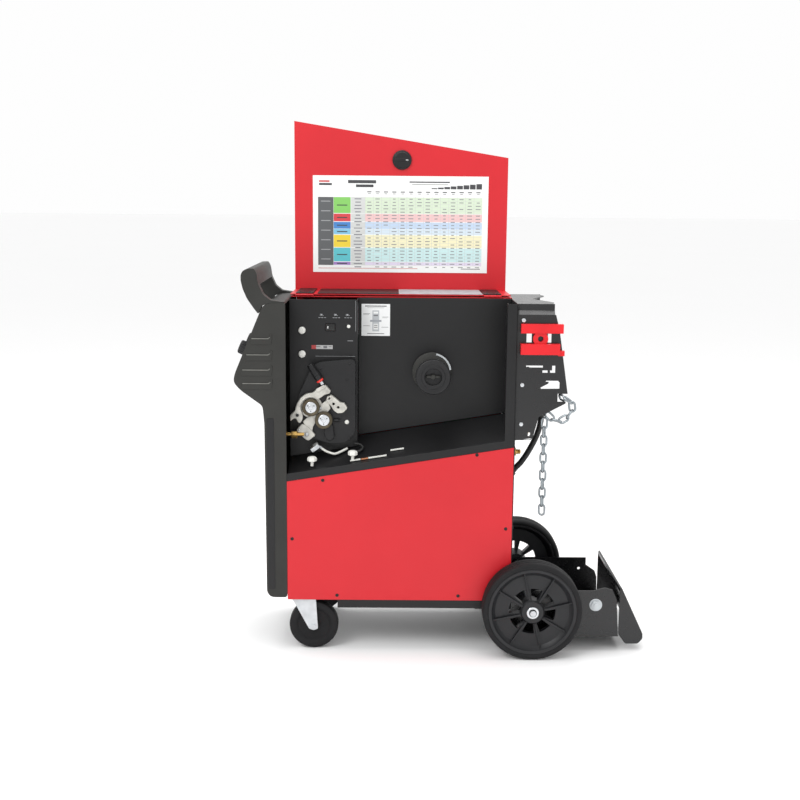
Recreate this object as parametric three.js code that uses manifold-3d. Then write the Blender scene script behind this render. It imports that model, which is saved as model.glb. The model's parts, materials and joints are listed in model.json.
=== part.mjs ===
// MIG welder on a wheeled cart: steel cabinet with a lift-over door on the wire feeder side.
// Units are millimetres. While it is built, x = 0 is the front edge of the side panels and runs
// to the rear, y = 0 is the centre plane, and z = 0 is the floor. The last lines move the origin
// to the middle of the footprint.
import * as THREE from 'three';
import { mergeVertices } from 'three/addons/utils/BufferGeometryUtils.js';
import Module from 'manifold-3d';

const wasm = await Module();
wasm.setup();

// ---------- Driving dimensions ----------
const CABINET_LENGTH = 573;
const CABINET_WIDTH = 340;
const ROOF_Z = 905;
const PANEL_BOTTOM_Z = 137;
const SILL_FRONT_Z = 449; // top edge of the near side panel at the front
const SILL_REAR_Z = 541; // and at the rear
const BASE_Z = 115; // underside of the base pan
const SHEET = 2;
const GAP = 0.3; // clearance kept between touching pieces

const WHEEL_RADIUS = 127; // 10 inch rear wheels
const WHEEL_WIDTH = 56;
const WHEEL_CLEARANCE = 5; // cabinet side to wheel
const AXLE_BEHIND = 52; // rear axle behind the cabinet
const AXLE_RADIUS = 8;

const CASTER_RADIUS = 63.5; // 5 inch front casters
const CASTER_WIDTH = 32;
const CASTER_TRAIL = 26;
const CASTER_PIVOT_X = 40;
const CASTER_INSET = 30; // swivel axis inside the cabinet side

const BEZEL_DEPTH = 55; // front moulding ahead of the cabinet
const BEZEL_WALL = 4;

const DRIVE_ROLL_RADIUS = 22.5;
const WIRE_GAP = 1.5; // between the rolls
const SPINDLE_RADIUS = 25; // hub for 2 inch spool bores
const COLLAR_RADIUS = 45;
const CORD_RADIUS = 8;

// ---------- Worked out from them ----------
const HALF_W = CABINET_WIDTH / 2;
const REAR_X = CABINET_LENGTH + GAP; // front face of the rear panel
const BACK_X = REAR_X + SHEET; // its outer face
const SILL_SLOPE = (SILL_REAR_Z - SILL_FRONT_Z) / CABINET_LENGTH;
const sillAt = (x) => SILL_FRONT_Z + SILL_SLOPE * x;
const AXLE_X = CABINET_LENGTH + AXLE_BEHIND;
const WHEEL_Y = HALF_W + WHEEL_CLEARANCE + WHEEL_WIDTH / 2;

// ---------- Materials ----------
const RED = { color: 0xd8232a, roughness: 0.38, metalness: 0.1 };
const BLACK_STEEL = { color: 0x1d1d1f, roughness: 0.45, metalness: 0.2 };
const BLACK_PLASTIC = { color: 0x38383a, roughness: 0.6, metalness: 0.0 };
const DARK = { color: 0x202022, roughness: 0.7, metalness: 0.0 };
const RUBBER = { color: 0x2a2a2c, roughness: 0.8, metalness: 0.0 };
const ZINC = { color: 0xb9bcc0, roughness: 0.35, metalness: 0.9 };
const CAST = { color: 0xb4b2aa, roughness: 0.55, metalness: 0.7 };
const BRASS = { color: 0xb8913f, roughness: 0.35, metalness: 0.9 };
const WHITE = { color: 0xeeeeee, roughness: 0.5, metalness: 0.0 };
const BOARD = { color: 0x1f5f3a, roughness: 0.6, metalness: 0.0 };
const COPPER = { color: 0xa8623a, roughness: 0.45, metalness: 0.6 };

// ---------- Shape helpers ----------
const root = new THREE.Group();

function add(name, form, look, parent = root) {
  const geometry = form instanceof THREE.BufferGeometry ? form : surface(form);
  const mesh = new THREE.Mesh(geometry, new THREE.MeshStandardMaterial(look));
  mesh.name = name;
  parent.add(mesh);
  return mesh;
}

// A closed mesh as a solid that can be joined and cut.
function solid(geometry) {
  const bare = geometry.clone();
  bare.deleteAttribute('normal');
  bare.deleteAttribute('uv');
  const merged = mergeVertices(bare, 1e-4);
  const index = merged.index.array;
  const triangles = [];
  for (let i = 0; i < index.length; i += 3) {
    const [a, b, c] = [index[i], index[i + 1], index[i + 2]];
    if (a !== b && b !== c && c !== a) triangles.push(a, b, c);
  }
  const vertProperties = new Float32Array(merged.attributes.position.array);
  const triVerts = new Uint32Array(triangles);
  return new wasm.Manifold(new wasm.Mesh({ numProp: 3, vertProperties, triVerts }));
}

function surface(body) {
  const mesh = body.getMesh();
  const geometry = new THREE.BufferGeometry();
  geometry.setAttribute('position', new THREE.BufferAttribute(mesh.vertProperties, 3));
  geometry.setIndex(new THREE.BufferAttribute(mesh.triVerts, 1));
  return geometry;
}

const join = (first, ...others) => others.reduce((body, next) => body.add(solid(next)), solid(first));
const cut = (body, ...tools) => tools.reduce((rest, tool) => rest.subtract(solid(tool)), body);

// A closed outline with its corners rounded to the given radius.
function outline(points, radius = 0) {
  const path = new THREE.Shape();
  const corners = points.map(([x, y]) => new THREE.Vector2(x, y));
  corners.forEach((corner, i) => {
    const before = corners.at(i - 1);
    const after = corners[(i + 1) % corners.length];
    const reach = (end) => Math.min(radius, corner.distanceTo(end) * 0.45);
    const start = corner.clone().lerp(before, reach(before) / corner.distanceTo(before));
    const end = corner.clone().lerp(after, reach(after) / corner.distanceTo(after));
    if (i === 0) path.moveTo(start.x, start.y);
    else path.lineTo(start.x, start.y);
    if (radius > 0) path.quadraticCurveTo(corner.x, corner.y, end.x, end.y);
  });
  path.closePath();
  return path;
}

const PLANES = {
  xy: (from) => new THREE.Matrix4().makeTranslation(0, 0, from),
  xz: (from, to) => new THREE.Matrix4().set(1, 0, 0, 0, 0, 0, -1, to, 0, 1, 0, 0, 0, 0, 0, 1),
  yz: (from) => new THREE.Matrix4().set(0, 0, 1, from, 1, 0, 0, 0, 0, 1, 0, 0, 0, 0, 0, 1),
};

// A plate: an outline drawn in one plane, from one place to another along its normal.
function plate(plane, points, from, to, radius = 0, curveSegments = 3) {
  const shape = points instanceof THREE.Shape ? points : outline(points, radius);
  const settings = { depth: to - from, bevelEnabled: false, curveSegments };
  return new THREE.ExtrudeGeometry(shape, settings).applyMatrix4(PLANES[plane](from, to));
}

function box(x0, x1, y0, y1, z0, z1) {
  const geometry = new THREE.BoxGeometry(x1 - x0, y1 - y0, z1 - z0);
  return geometry.translate((x0 + x1) / 2, (y0 + y1) / 2, (z0 + z1) / 2);
}

// A round bar between two points.
function bar(from, to, radius, sides = 16, endRadius = radius) {
  const a = new THREE.Vector3(...from);
  const b = new THREE.Vector3(...to);
  const geometry = new THREE.CylinderGeometry(endRadius, radius, a.distanceTo(b), sides);
  const turn = new THREE.Quaternion().setFromUnitVectors(
    new THREE.Vector3(0, 1, 0), b.clone().sub(a).normalize());
  return geometry.applyQuaternion(turn).translate(...a.add(b).multiplyScalar(0.5).toArray());
}

// A turned piece about an axis parallel to x, y or z; the profile lists [radius, place].
function turned(axis, centre, profile, sides = 24) {
  const points = profile.map(([r, place]) => new THREE.Vector2(r, place));
  if (THREE.ShapeUtils.area(points) < 0) points.reverse(); // faces point outward either way
  const geometry = new THREE.LatheGeometry(points, sides);
  if (axis === 'x') geometry.rotateZ(-Math.PI / 2);
  if (axis === 'z') geometry.rotateX(Math.PI / 2);
  return geometry.translate(...centre);
}

// A tube of round section along a smooth curve.
function tube(points, radius, steps, sides = 8) {
  const curve = new THREE.CatmullRomCurve3(points.map((p) => new THREE.Vector3(...p)));
  const section = new THREE.Shape();
  for (let i = 0; i < sides; i += 1) {
    const angle = (2 * Math.PI * i) / sides;
    const place = [radius * Math.cos(angle), radius * Math.sin(angle)];
    if (i === 0) section.moveTo(...place);
    else section.lineTo(...place);
  }
  section.closePath();
  return new THREE.ExtrudeGeometry(section, { steps, extrudePath: curve, bevelEnabled: false });
}

// ---------- Base pan, raised at the front to clear the casters ----------
const PAN_RAISED_Z = 158;
const PAN_STEP_X = 128;
const SIDE_IN = HALF_W - SHEET - GAP; // inner face of the side panels, less the clearance
const panTop = PAN_RAISED_Z + SHEET;
const panProfile = [
  [0, PAN_RAISED_Z], [PAN_STEP_X, PAN_RAISED_Z], [PAN_STEP_X, BASE_Z],
  [CABINET_LENGTH, BASE_Z], [CABINET_LENGTH, BASE_Z + SHEET],
  [PAN_STEP_X + SHEET, BASE_Z + SHEET], [PAN_STEP_X + SHEET, panTop], [0, panTop],
];
const panFlange = (side) => {
  const y = side * (SIDE_IN - SHEET / 2);
  return box(PAN_STEP_X, CABINET_LENGTH, y - SHEET / 2, y + SHEET / 2, BASE_Z, PAN_RAISED_Z);
};
const CASTER_PLATE = 3;
const casterPlate = (side) => {
  const y = side * (HALF_W - CASTER_INSET);
  return box(CASTER_PIVOT_X - 40, CASTER_PIVOT_X + 45, y - 25, y + 25, PAN_RAISED_Z - CASTER_PLATE,
    PAN_RAISED_Z + 1);
};
add('base_pan', join(plate('xz', panProfile, -SIDE_IN, SIDE_IN), panFlange(-1), panFlange(1),
  casterPlate(-1), casterPlate(1)), BLACK_STEEL);

// ---------- Cabinet skins ----------
const nearPanel = [
  [0, PANEL_BOTTOM_Z], [CABINET_LENGTH, PANEL_BOTTOM_Z],
  [CABINET_LENGTH, SILL_REAR_Z], [0, SILL_FRONT_Z],
];
add('near_side_panel', plate('xz', nearPanel, -HALF_W, -HALF_W + SHEET), RED);

// The far side is one tall panel with two banks of air slots.
const SLOT_LENGTH = 90;
const SLOT_HEIGHT = 7;
const SLOT_PITCH = 22;
const slots = [];
for (const x of [90, 380]) {
  for (let i = 0; i < 6; i += 1) {
    const z = 240 + i * SLOT_PITCH;
    slots.push(box(x, x + SLOT_LENGTH, HALF_W - 5, HALF_W + 1, z, z + SLOT_HEIGHT));
  }
}
const ROOF_UNDER = ROOF_Z - SHEET;
const farPanel = box(0, CABINET_LENGTH, HALF_W - SHEET, HALF_W, PANEL_BOTTOM_Z, ROOF_UNDER - GAP);
add('far_side_panel', cut(solid(farPanel), ...slots), RED);

// Fixed half of the roof; the near half belongs to the door. Each hinge has two knuckles on the
// roof and one between them on the door.
const DOOR_SPLIT_Y = -8;
const HINGE_Z = ROOF_Z + 3;
const HINGE_Y = DOOR_SPLIT_Y;
const KNUCKLE_RADIUS = 2.6;
const KNUCKLE_LENGTH = 14;
const HINGES = [[12, 58], [502, 548]];
const knuckle = (x0, x1) => bar([x0, HINGE_Y, HINGE_Z], [x1, HINGE_Y, HINGE_Z], KNUCKLE_RADIUS, 10);
const roofKnuckles = HINGES.flatMap(([x0, x1]) => [[x0, x0 + KNUCKLE_LENGTH],
  [x1 - KNUCKLE_LENGTH, x1]].flatMap(([a, b]) => [knuckle(a, b),
  box(a, b, HINGE_Y + 0.5, HINGE_Y + 20, ROOF_Z - 1, ROOF_Z + 1.5)]));
add('roof_panel', join(box(0, REAR_X + SHEET, DOOR_SPLIT_Y, HALF_W, ROOF_UNDER, ROOF_Z),
  ...roofKnuckles), RED);

// Rear panel with a fan opening, a gland hole and a gas inlet hole.
const FAN_X = CABINET_LENGTH - 30;
const FAN_Z = 330;
const FAN_RADIUS = 62;
const CORD_Y = 88;
const GLAND_Z = 410;
const GAS_Y = -120;
const GAS_Z = 520;
const rearSheet = box(REAR_X, BACK_X, -HALF_W, HALF_W, BASE_Z, ROOF_UNDER - GAP);
const fanSlots = [];
for (let i = -4; i <= 4; i += 1) {
  const half = Math.sqrt(FAN_RADIUS ** 2 - (i * 13) ** 2);
  const z = 240 + i * 13;
  fanSlots.push(box(REAR_X - 1, BACK_X + 1, -half, half, z - 3, z + 3));
}
add('rear_panel', cut(solid(rearSheet), ...fanSlots,
  bar([REAR_X - 1, CORD_Y, GLAND_Z], [BACK_X + 1, CORD_Y, GLAND_Z], 11),
  bar([REAR_X - 1, GAS_Y, GAS_Z], [BACK_X + 1, GAS_Y, GAS_Z], 8)), BLACK_STEEL);

// Black frame round the open side: a sill above the red panel and a post at the rear.
const SILL_HEIGHT = 20;
const POST_WIDTH = 24;
const POST_X = CABINET_LENGTH - POST_WIDTH;
const frameOutline = [
  [0, sillAt(0) + GAP], [CABINET_LENGTH, SILL_REAR_Z + GAP], [CABINET_LENGTH, ROOF_UNDER - GAP],
  [POST_X, ROOF_UNDER - GAP], [POST_X, sillAt(POST_X) + SILL_HEIGHT], [0, sillAt(0) + SILL_HEIGHT],
];
const postReturn = box(POST_X, POST_X + SHEET, -HALF_W, -HALF_W + 22, sillAt(POST_X) + SILL_HEIGHT + 20,
  ROOF_UNDER - GAP);
add('side_frame', join(plate('xz', frameOutline, -HALF_W, -HALF_W + SHEET), postReturn),
  BLACK_STEEL);

// ---------- Wire feeder compartment ----------
const WALL_Y = -20; // face of the back wall
const DRIVE_Y = -80; // face of the panel that carries the wire drive
const DIVIDER_X = 176;
const FLOOR_RISE = 0.3; // the floor climbs towards the back wall
const FLOOR_FRONT_Y = -HALF_W + SHEET + GAP;
const floorAt = (x, y) => sillAt(x) + SILL_HEIGHT - 4 + FLOOR_RISE * (y - FLOOR_FRONT_Y);
const floorSheet = box(SHEET, CABINET_LENGTH, FLOOR_FRONT_Y, WALL_Y - GAP, 0, SHEET);
floorSheet.applyMatrix4(new THREE.Matrix4().set(1, 0, 0, 0, 0, 1, 0, 0,
  SILL_SLOPE, FLOOR_RISE, 1, floorAt(0, 0), 0, 0, 0, 1));
add('compartment_floor', floorSheet, BLACK_STEEL);

const wallFoot = (x) => floorAt(x, WALL_Y) + SHEET + 1;
const wallOutline = [
  [DIVIDER_X + GAP, wallFoot(DIVIDER_X)], [CABINET_LENGTH, wallFoot(CABINET_LENGTH)],
  [CABINET_LENGTH, ROOF_UNDER - GAP], [DIVIDER_X + GAP, ROOF_UNDER - GAP],
];
add('centre_panel', plate('xz', wallOutline, WALL_Y, WALL_Y + SHEET), BLACK_STEEL);

const driveFoot = (x) => floorAt(x, DRIVE_Y) + SHEET + 1;
const drivePlate = [
  [SHEET, driveFoot(SHEET)], [DIVIDER_X, driveFoot(DIVIDER_X)],
  [DIVIDER_X, ROOF_UNDER - GAP], [SHEET, ROOF_UNDER - GAP],
];
const SWITCH_X = 106;
const SWITCH_Z = 832;
const switchHole = box(SWITCH_X - 12.5, SWITCH_X + 12.5, DRIVE_Y - 1, DRIVE_Y + SHEET + 1,
  SWITCH_Z - 9.5, SWITCH_Z + 9.5);
const divider = box(DIVIDER_X - SHEET, DIVIDER_X, DRIVE_Y, WALL_Y + SHEET, wallFoot(DIVIDER_X),
  ROOF_UNDER - GAP);
const studs = [824, 763].map((z) => turned('y', [34, 0, z], [[0, DRIVE_Y - 9], [7, DRIVE_Y - 8],
  [9, DRIVE_Y - 5], [9, DRIVE_Y + 1], [0, DRIVE_Y + 1]], 12));
add('drive_panel', cut(join(plate('xz', drivePlate, DRIVE_Y, DRIVE_Y + SHEET), divider, ...studs),
  switchHole), BLACK_STEEL);

// ---------- Wire drive ----------
const DRIVE_ROLL = [91, 598]; // x, z
const SPACING = 2 * DRIVE_ROLL_RADIUS + WIRE_GAP;
const IDLE_ROLL = [DRIVE_ROLL[0] - SPACING * Math.SQRT1_2, DRIVE_ROLL[1] + SPACING * Math.SQRT1_2];
const CASE_FACE_Y = DRIVE_Y - 24;
const FRAME_FACE_Y = CASE_FACE_Y - 8;
const ROLL_FACE_Y = FRAME_FACE_Y - 11;
const caseOutline = [
  [60, 735], [82, 746], [171, 754], [171, 562], [150, 538], [110, 533], [60, 548], [22, 580],
  [22, 650],
];
const ARM_PIVOT = [24, 611];
const pivotPin = bar([ARM_PIVOT[0], CASE_FACE_Y - 21, ARM_PIVOT[1]],
  [ARM_PIVOT[0], DRIVE_Y - 2, ARM_PIVOT[1]], 4, 12);
add('gear_case', join(plate('xz', caseOutline, CASE_FACE_Y, DRIVE_Y - GAP, 14), pivotPin), DARK);

// Cast frame: a seat round the lower roll, a clamp block for the gun adapter and a drilled arm.
const GUN = [40, 560];
const castArm = [[97, 652], [109, 664], [117, 658], [134, 643], [143, 643], [152, 629],
  [141, 617], [126, 615], [115, 624], [111, 632], [97, 648]];
const castBridge = [[109, 628], [101, 618], [90, 612], [76, 606], [70, 597], [68, 587], [63, 580],
  [61, 562], [51, 568], [36, 592], [51, 606], [70, 610], [78, 624], [84, 638], [100, 650]];
const clampBlock = [[20, 571], [35, 588], [54, 577], [64, 565], [70, 557], [51, 542], [42, 547],
  [26, 563]];
const rollSeat = turned('y', [DRIVE_ROLL[0], 0, DRIVE_ROLL[1]],
  [[0, FRAME_FACE_Y], [19, FRAME_FACE_Y], [19, CASE_FACE_Y - GAP], [0, CASE_FACE_Y - GAP]], 20);
const castFrame = [castBridge, clampBlock].map((points) =>
  plate('xz', points, FRAME_FACE_Y, CASE_FACE_Y - GAP, 3));
const drilledArm = plate('xz', castArm, FRAME_FACE_Y - 6, CASE_FACE_Y - GAP, 4);
const armHoles = [[104, 654], [116, 640], [128, 631]].map(([x, z]) =>
  bar([x, FRAME_FACE_Y - 9, z], [x, CASE_FACE_Y + 1, z], 2.6, 10));
const gunBore = bar([-20, (FRAME_FACE_Y + CASE_FACE_Y) / 2 - 4, GUN[1]],
  [GUN[0] + GAP, (FRAME_FACE_Y + CASE_FACE_Y) / 2 - 4, GUN[1]], 5 + GAP, 12);
const shaftHole = (x, z, radius) => bar([x, ROLL_FACE_Y - 1, z], [x, DRIVE_Y + 20, z], radius, 12);
add('drive_frame', cut(join(rollSeat, ...castFrame, drilledArm), ...armHoles, gunBore,
  shaftHole(...DRIVE_ROLL, 6.3)), CAST);

// Rolls turn on stub shafts: hub behind, grooved rim in front of the frame.
const rollProfile = (radius) => [
  [0, ROLL_FACE_Y], [radius - 4, ROLL_FACE_Y], [radius, ROLL_FACE_Y + 3],
  [radius, ROLL_FACE_Y + 6], [radius - 1, ROLL_FACE_Y + 7], [radius, ROLL_FACE_Y + 8],
  [radius, FRAME_FACE_Y - GAP], [6, FRAME_FACE_Y - GAP], [6, CASE_FACE_Y - GAP],
  [0, CASE_FACE_Y - GAP],
];
add('drive_roll', turned('y', [DRIVE_ROLL[0], 0, DRIVE_ROLL[1]], rollProfile(DRIVE_ROLL_RADIUS)),
  ZINC);
add('idle_roll', turned('y', [IDLE_ROLL[0], 0, IDLE_ROLL[1]], rollProfile(DRIVE_ROLL_RADIUS)),
  ZINC);

// Pressure arm: a swinging casting that carries the idle roll and the tension knob.
const ARM_HEAD = [88, 690];
const ARM_FACE_Y = ROLL_FACE_Y + 2;
const ARM_BORE = DRIVE_ROLL_RADIUS + 3.5;
// The arm's inner edge runs round the idle roll with an even gap.
const armInner = [48, 72, 96, 120, 144, 168, 192, 210].map((degrees) => {
  const angle = THREE.MathUtils.degToRad(degrees);
  return [IDLE_ROLL[0] + ARM_BORE * Math.cos(angle), IDLE_ROLL[1] + ARM_BORE * Math.sin(angle)];
});
const armBody = [[77, 680], [95, 689], [109, 674], [106, 667], [94, 664], ...armInner, [38, 604],
  [36, 598], [31, 590], [25, 592], [20, 602], [14, 602], [8, 596], [5, 597], [5, 610], [17, 622],
  [22, 640], [32, 656], [46, 666], [63, 669]];
const armWeb = turned('y', [IDLE_ROLL[0], 0, IDLE_ROLL[1]], [[0, FRAME_FACE_Y + 3],
  [ARM_BORE + 4, FRAME_FACE_Y + 3], [ARM_BORE + 4, CASE_FACE_Y - GAP], [0, CASE_FACE_Y - GAP]]);
const grown = (points) => points.map(([x, z]) => [x + 1, z + 1]);
add('pressure_arm', cut(join(plate('xz', armBody, ARM_FACE_Y, CASE_FACE_Y - GAP, 2), armWeb),
  shaftHole(...IDLE_ROLL, 6.3), shaftHole(...ARM_PIVOT, 4 + GAP),
  ...[castBridge, clampBlock, castArm].flatMap((points) => [points, grown(points),
    points.map(([x, z]) => [x - 1, z + 2])]).map((points) =>
    plate('xz', points, FRAME_FACE_Y - 8, CASE_FACE_Y + 1)),
  bar([DRIVE_ROLL[0], FRAME_FACE_Y - 8, DRIVE_ROLL[1]], [DRIVE_ROLL[0], CASE_FACE_Y + 1,
    DRIVE_ROLL[1]], DRIVE_ROLL_RADIUS + 1, 24)), CAST);

// Tension knob: a ribbed grip on a red scale ring, leaning back over the arm's head.
const LEAN = new THREE.Vector3(-0.55, 0, 0.835).normalize();
const KNOB_Y = CASE_FACE_Y - 11;
const knobPoint = (distance) => [ARM_HEAD[0] + LEAN.x * distance, KNOB_Y,
  ARM_HEAD[1] + LEAN.z * distance];
const tensionKnob = join(bar(knobPoint(23), knobPoint(28), 8.5),
  bar(knobPoint(27), knobPoint(60), 9.5, 12, 8));
add('tension_knob', tensionKnob, DARK);

// Gun adapter: a brass bush clamped in the frame and reaching through the front.
const ADAPTER_Y = (FRAME_FACE_Y + CASE_FACE_Y) / 2 - 4;
const ADAPTER_NOSE = -BEZEL_DEPTH - 22;
add('gun_adapter', turned('x', [0, ADAPTER_Y, GUN[1]], [
  [0, ADAPTER_NOSE], [13, ADAPTER_NOSE], [15, ADAPTER_NOSE + 3], [15, -6], [5, -4], [5, GUN[0]],
  [0, GUN[0]]], 20), BRASS);

// Gas fitting with a clear hose under the gear case, and the two white thumb screws.
const HOSE_Y = DRIVE_Y - 36;
const hoseRoute = [[98, HOSE_Y, 19.8], [118, HOSE_Y, 10.6], [134, HOSE_Y + 8, 9.6],
  [150, HOSE_Y + 20, 9.5]].map(([x, y, lift]) => [x, y, floorAt(x, y) + lift]);
hoseRoute.unshift([76, HOSE_Y, 530.5]);
add('gas_hose', join(bar([62, HOSE_Y, 520], [78, HOSE_Y, 532], 8.5, 6), tube(hoseRoute, 3, 14)), WHITE);
const thumbScrew = (x, z) => turned('z', [x, -150, z], [[0, 0], [4, 0], [4, 12], [11, 13],
  [12, 17], [9, 24], [0, 25]], 16);
add('gun_clamp_screw', thumbScrew(63, floorAt(63, -150) + SHEET + 3), WHITE);
add('polarity_screw', thumbScrew(166, floorAt(166, -150) + SHEET + 3), WHITE);

// Rocker switch above the drive.
const rocker = [[SWITCH_X - 11.5, SWITCH_Z - 8.5], [SWITCH_X + 11.5, SWITCH_Z - 8.5],
  [SWITCH_X + 11.5, SWITCH_Z + 8.5], [SWITCH_X - 11.5, SWITCH_Z + 8.5]];
add('feeder_switch', plate('xz', rocker, DRIVE_Y - 4, DRIVE_Y + 6), DARK);
add('drive_motor', turned('y', [95, 0, 640], [[0, DRIVE_Y + SHEET + GAP],
  [36, DRIVE_Y + SHEET + GAP], [36, 40], [30, 46], [0, 46]], 24), DARK);

// ---------- Wire spool spindle ----------
const SPINDLE = [369, 711];
const COLLAR_FACE_Y = -122;
const COLLAR_BACK_Y = COLLAR_FACE_Y + 20;
const spindleAt = [SPINDLE[0], 0, SPINDLE[1]];
add('spindle_shaft', turned('y', spindleAt, [[0, COLLAR_BACK_Y + 12], [8, COLLAR_BACK_Y + 12],
  [8, WALL_Y - 2 - GAP], [22, WALL_Y - 2 - GAP], [22, WALL_Y - GAP], [0, WALL_Y - GAP]], 16), ZINC);
add('spindle_hub', turned('y', spindleAt, [[10, COLLAR_BACK_Y + GAP],
  [SPINDLE_RADIUS, COLLAR_BACK_Y + GAP], [SPINDLE_RADIUS, WALL_Y - 12], [52, WALL_Y - 12],
  [52, WALL_Y - 4], [8.3, WALL_Y - 4], [8.3, COLLAR_BACK_Y + 10], [10, COLLAR_BACK_Y + 10],
  [10, COLLAR_BACK_Y + GAP]]), BLACK_PLASTIC);
add('retaining_collar', turned('y', spindleAt, [[21, COLLAR_FACE_Y], [COLLAR_RADIUS - 3, COLLAR_FACE_Y],
  [COLLAR_RADIUS, COLLAR_FACE_Y + 3], [COLLAR_RADIUS, COLLAR_BACK_Y], [0, COLLAR_BACK_Y],
  [0, COLLAR_FACE_Y + 14], [21, COLLAR_FACE_Y + 14], [21, COLLAR_FACE_Y]]), BLACK_PLASTIC);

// ---------- Front moulding ----------
const NOSE = { x: -BEZEL_DEPTH - 75, z: 713 };
const bezelOuter = [
  [-GAP, 143], [-42, 143], [2 - BEZEL_DEPTH, 156], [-BEZEL_DEPTH, 600], [-BEZEL_DEPTH - 4, 643],
  [-BEZEL_DEPTH - 58, 682], [NOSE.x + 1, 700], [NOSE.x, NOSE.z], [NOSE.x + 5, 730],
  [-BEZEL_DEPTH - 2, 893], [-40, 900], [-GAP, ROOF_UNDER],
];
// The cavity follows the outline one wall inside and is open towards the cabinet.
const bezelInner = [
  [2, 143 + BEZEL_WALL], [-40, 143 + BEZEL_WALL], [6 - BEZEL_DEPTH, 158], [4 - BEZEL_DEPTH, 602],
  [-BEZEL_DEPTH, 646], [-BEZEL_DEPTH - 54, 686], [NOSE.x + 5, 703], [NOSE.x + 4.5, NOSE.z],
  [NOSE.x + 9, 728], [-BEZEL_DEPTH + 2, 888], [-38, 896], [2, ROOF_UNDER - BEZEL_WALL],
];
const SLOPE_TOP = new THREE.Vector2(-BEZEL_DEPTH - 2, 893);
const SLOPE_FOOT = new THREE.Vector2(NOSE.x + 5, 730);
const slopeMid = SLOPE_TOP.clone().add(SLOPE_FOOT).multiplyScalar(0.5);
const slopeAngle = Math.atan2(SLOPE_TOP.y - SLOPE_FOOT.y, SLOPE_TOP.x - SLOPE_FOOT.x);
// On the control face, local x climbs the slope, y runs across and z points out of it.
const controlFace = new THREE.Group();
controlFace.position.set(slopeMid.x, 0, slopeMid.y);
controlFace.rotation.y = -slopeAngle;
root.add(controlFace);
controlFace.updateMatrix();
const FACE_LENGTH = 150;
const FACE_WIDTH = 250;
const pocket = box(-FACE_LENGTH / 2 - GAP, FACE_LENGTH / 2 + GAP, -FACE_WIDTH / 2 - GAP,
  FACE_WIDTH / 2 + GAP, -2, 3).applyMatrix4(controlFace.matrix);
add('front_bezel', cut(solid(plate('xz', bezelOuter, -HALF_W, HALF_W, 9, 4)),
  plate('xz', bezelInner, -HALF_W + BEZEL_WALL, HALF_W - BEZEL_WALL, 6, 3), pocket,
  bar([-100, ADAPTER_Y, GUN[1]], [0, ADAPTER_Y, GUN[1]], 17, 20),
  bar([-100, 70, 250], [0, 70, 250], 12, 16)), BLACK_PLASTIC);
add('work_terminal', turned('x', [0, 70, 250], [[0, -BEZEL_DEPTH - 14], [7, -BEZEL_DEPTH - 14],
  [7, -BEZEL_DEPTH], [11, -BEZEL_DEPTH], [11, -4], [0, -4]], 16), BRASS);

add('control_panel', box(-FACE_LENGTH / 2, FACE_LENGTH / 2, -FACE_WIDTH / 2, FACE_WIDTH / 2,
  -2 + GAP, 0.5), DARK, controlFace);
const KNOB_X = -40;
const KNOB_SPREAD = 82;
const knobForm = (y) => turned('z', [KNOB_X, y, 0], [[0, 0.8], [20, 0.8], [20, 4], [16, 6],
  [14.5, 20], [12, 21.5], [0, 21.5]], 24);
add('wire_speed_knob', knobForm(-KNOB_SPREAD), BLACK_PLASTIC, controlFace);
add('voltage_knob', knobForm(KNOB_SPREAD), BLACK_PLASTIC, controlFace);
const switchForm = [[-16, 3], [0, 0.8], [16, 3], [16, 8], [0, 6], [-16, 8]].map(([x, z]) =>
  [KNOB_X + x, z]);
add('power_switch', plate('xz', switchForm, -11, 11), DARK, controlFace);

// ---------- Carrying handle: two swept arms and a cross bar ----------
const HANDLE_ARM = 30;
const HANDLE_X = -BEZEL_DEPTH; // its curve is drawn from the front of the cabinet's moulding
const handleSide = [
  [HANDLE_X - 3, 893.3], [HANDLE_X - 11.8, 873], [HANDLE_X - 24, 889], [HANDLE_X - 39, 911],
  [HANDLE_X - 49, 934], [HANDLE_X - 54, 955], [HANDLE_X - 54, 969], [HANDLE_X - 49, 979],
  [HANDLE_X - 38, 984.5], [HANDLE_X - 21, 985], [HANDLE_X - 15, 973], [HANDLE_X - 11, 947],
  [HANDLE_X, 922], [-38, 908], [-12, 904], [-GAP, 903.4], [-40, 900.4],
];
const gripHole = [[HANDLE_X - 85, 860], [HANDLE_X - 85, 945], [HANDLE_X + 15, 945], [20, 945],
  [20, 860]];
add('handle', cut(solid(plate('xz', handleSide, -HALF_W, HALF_W, 4)),
  plate('xz', gripHole, -HALF_W + HANDLE_ARM, HALF_W - HANDLE_ARM)), BLACK_PLASTIC);

// ---------- Door: half the roof and the upper side in one folded sheet ----------
const FLAP_LIFT = GAP; // closed flap above the compartment
const LEAF_Y = -HALF_W - GAP; // inner face of the closed leaf
const LEAF_CLEARANCE = 8;
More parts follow.
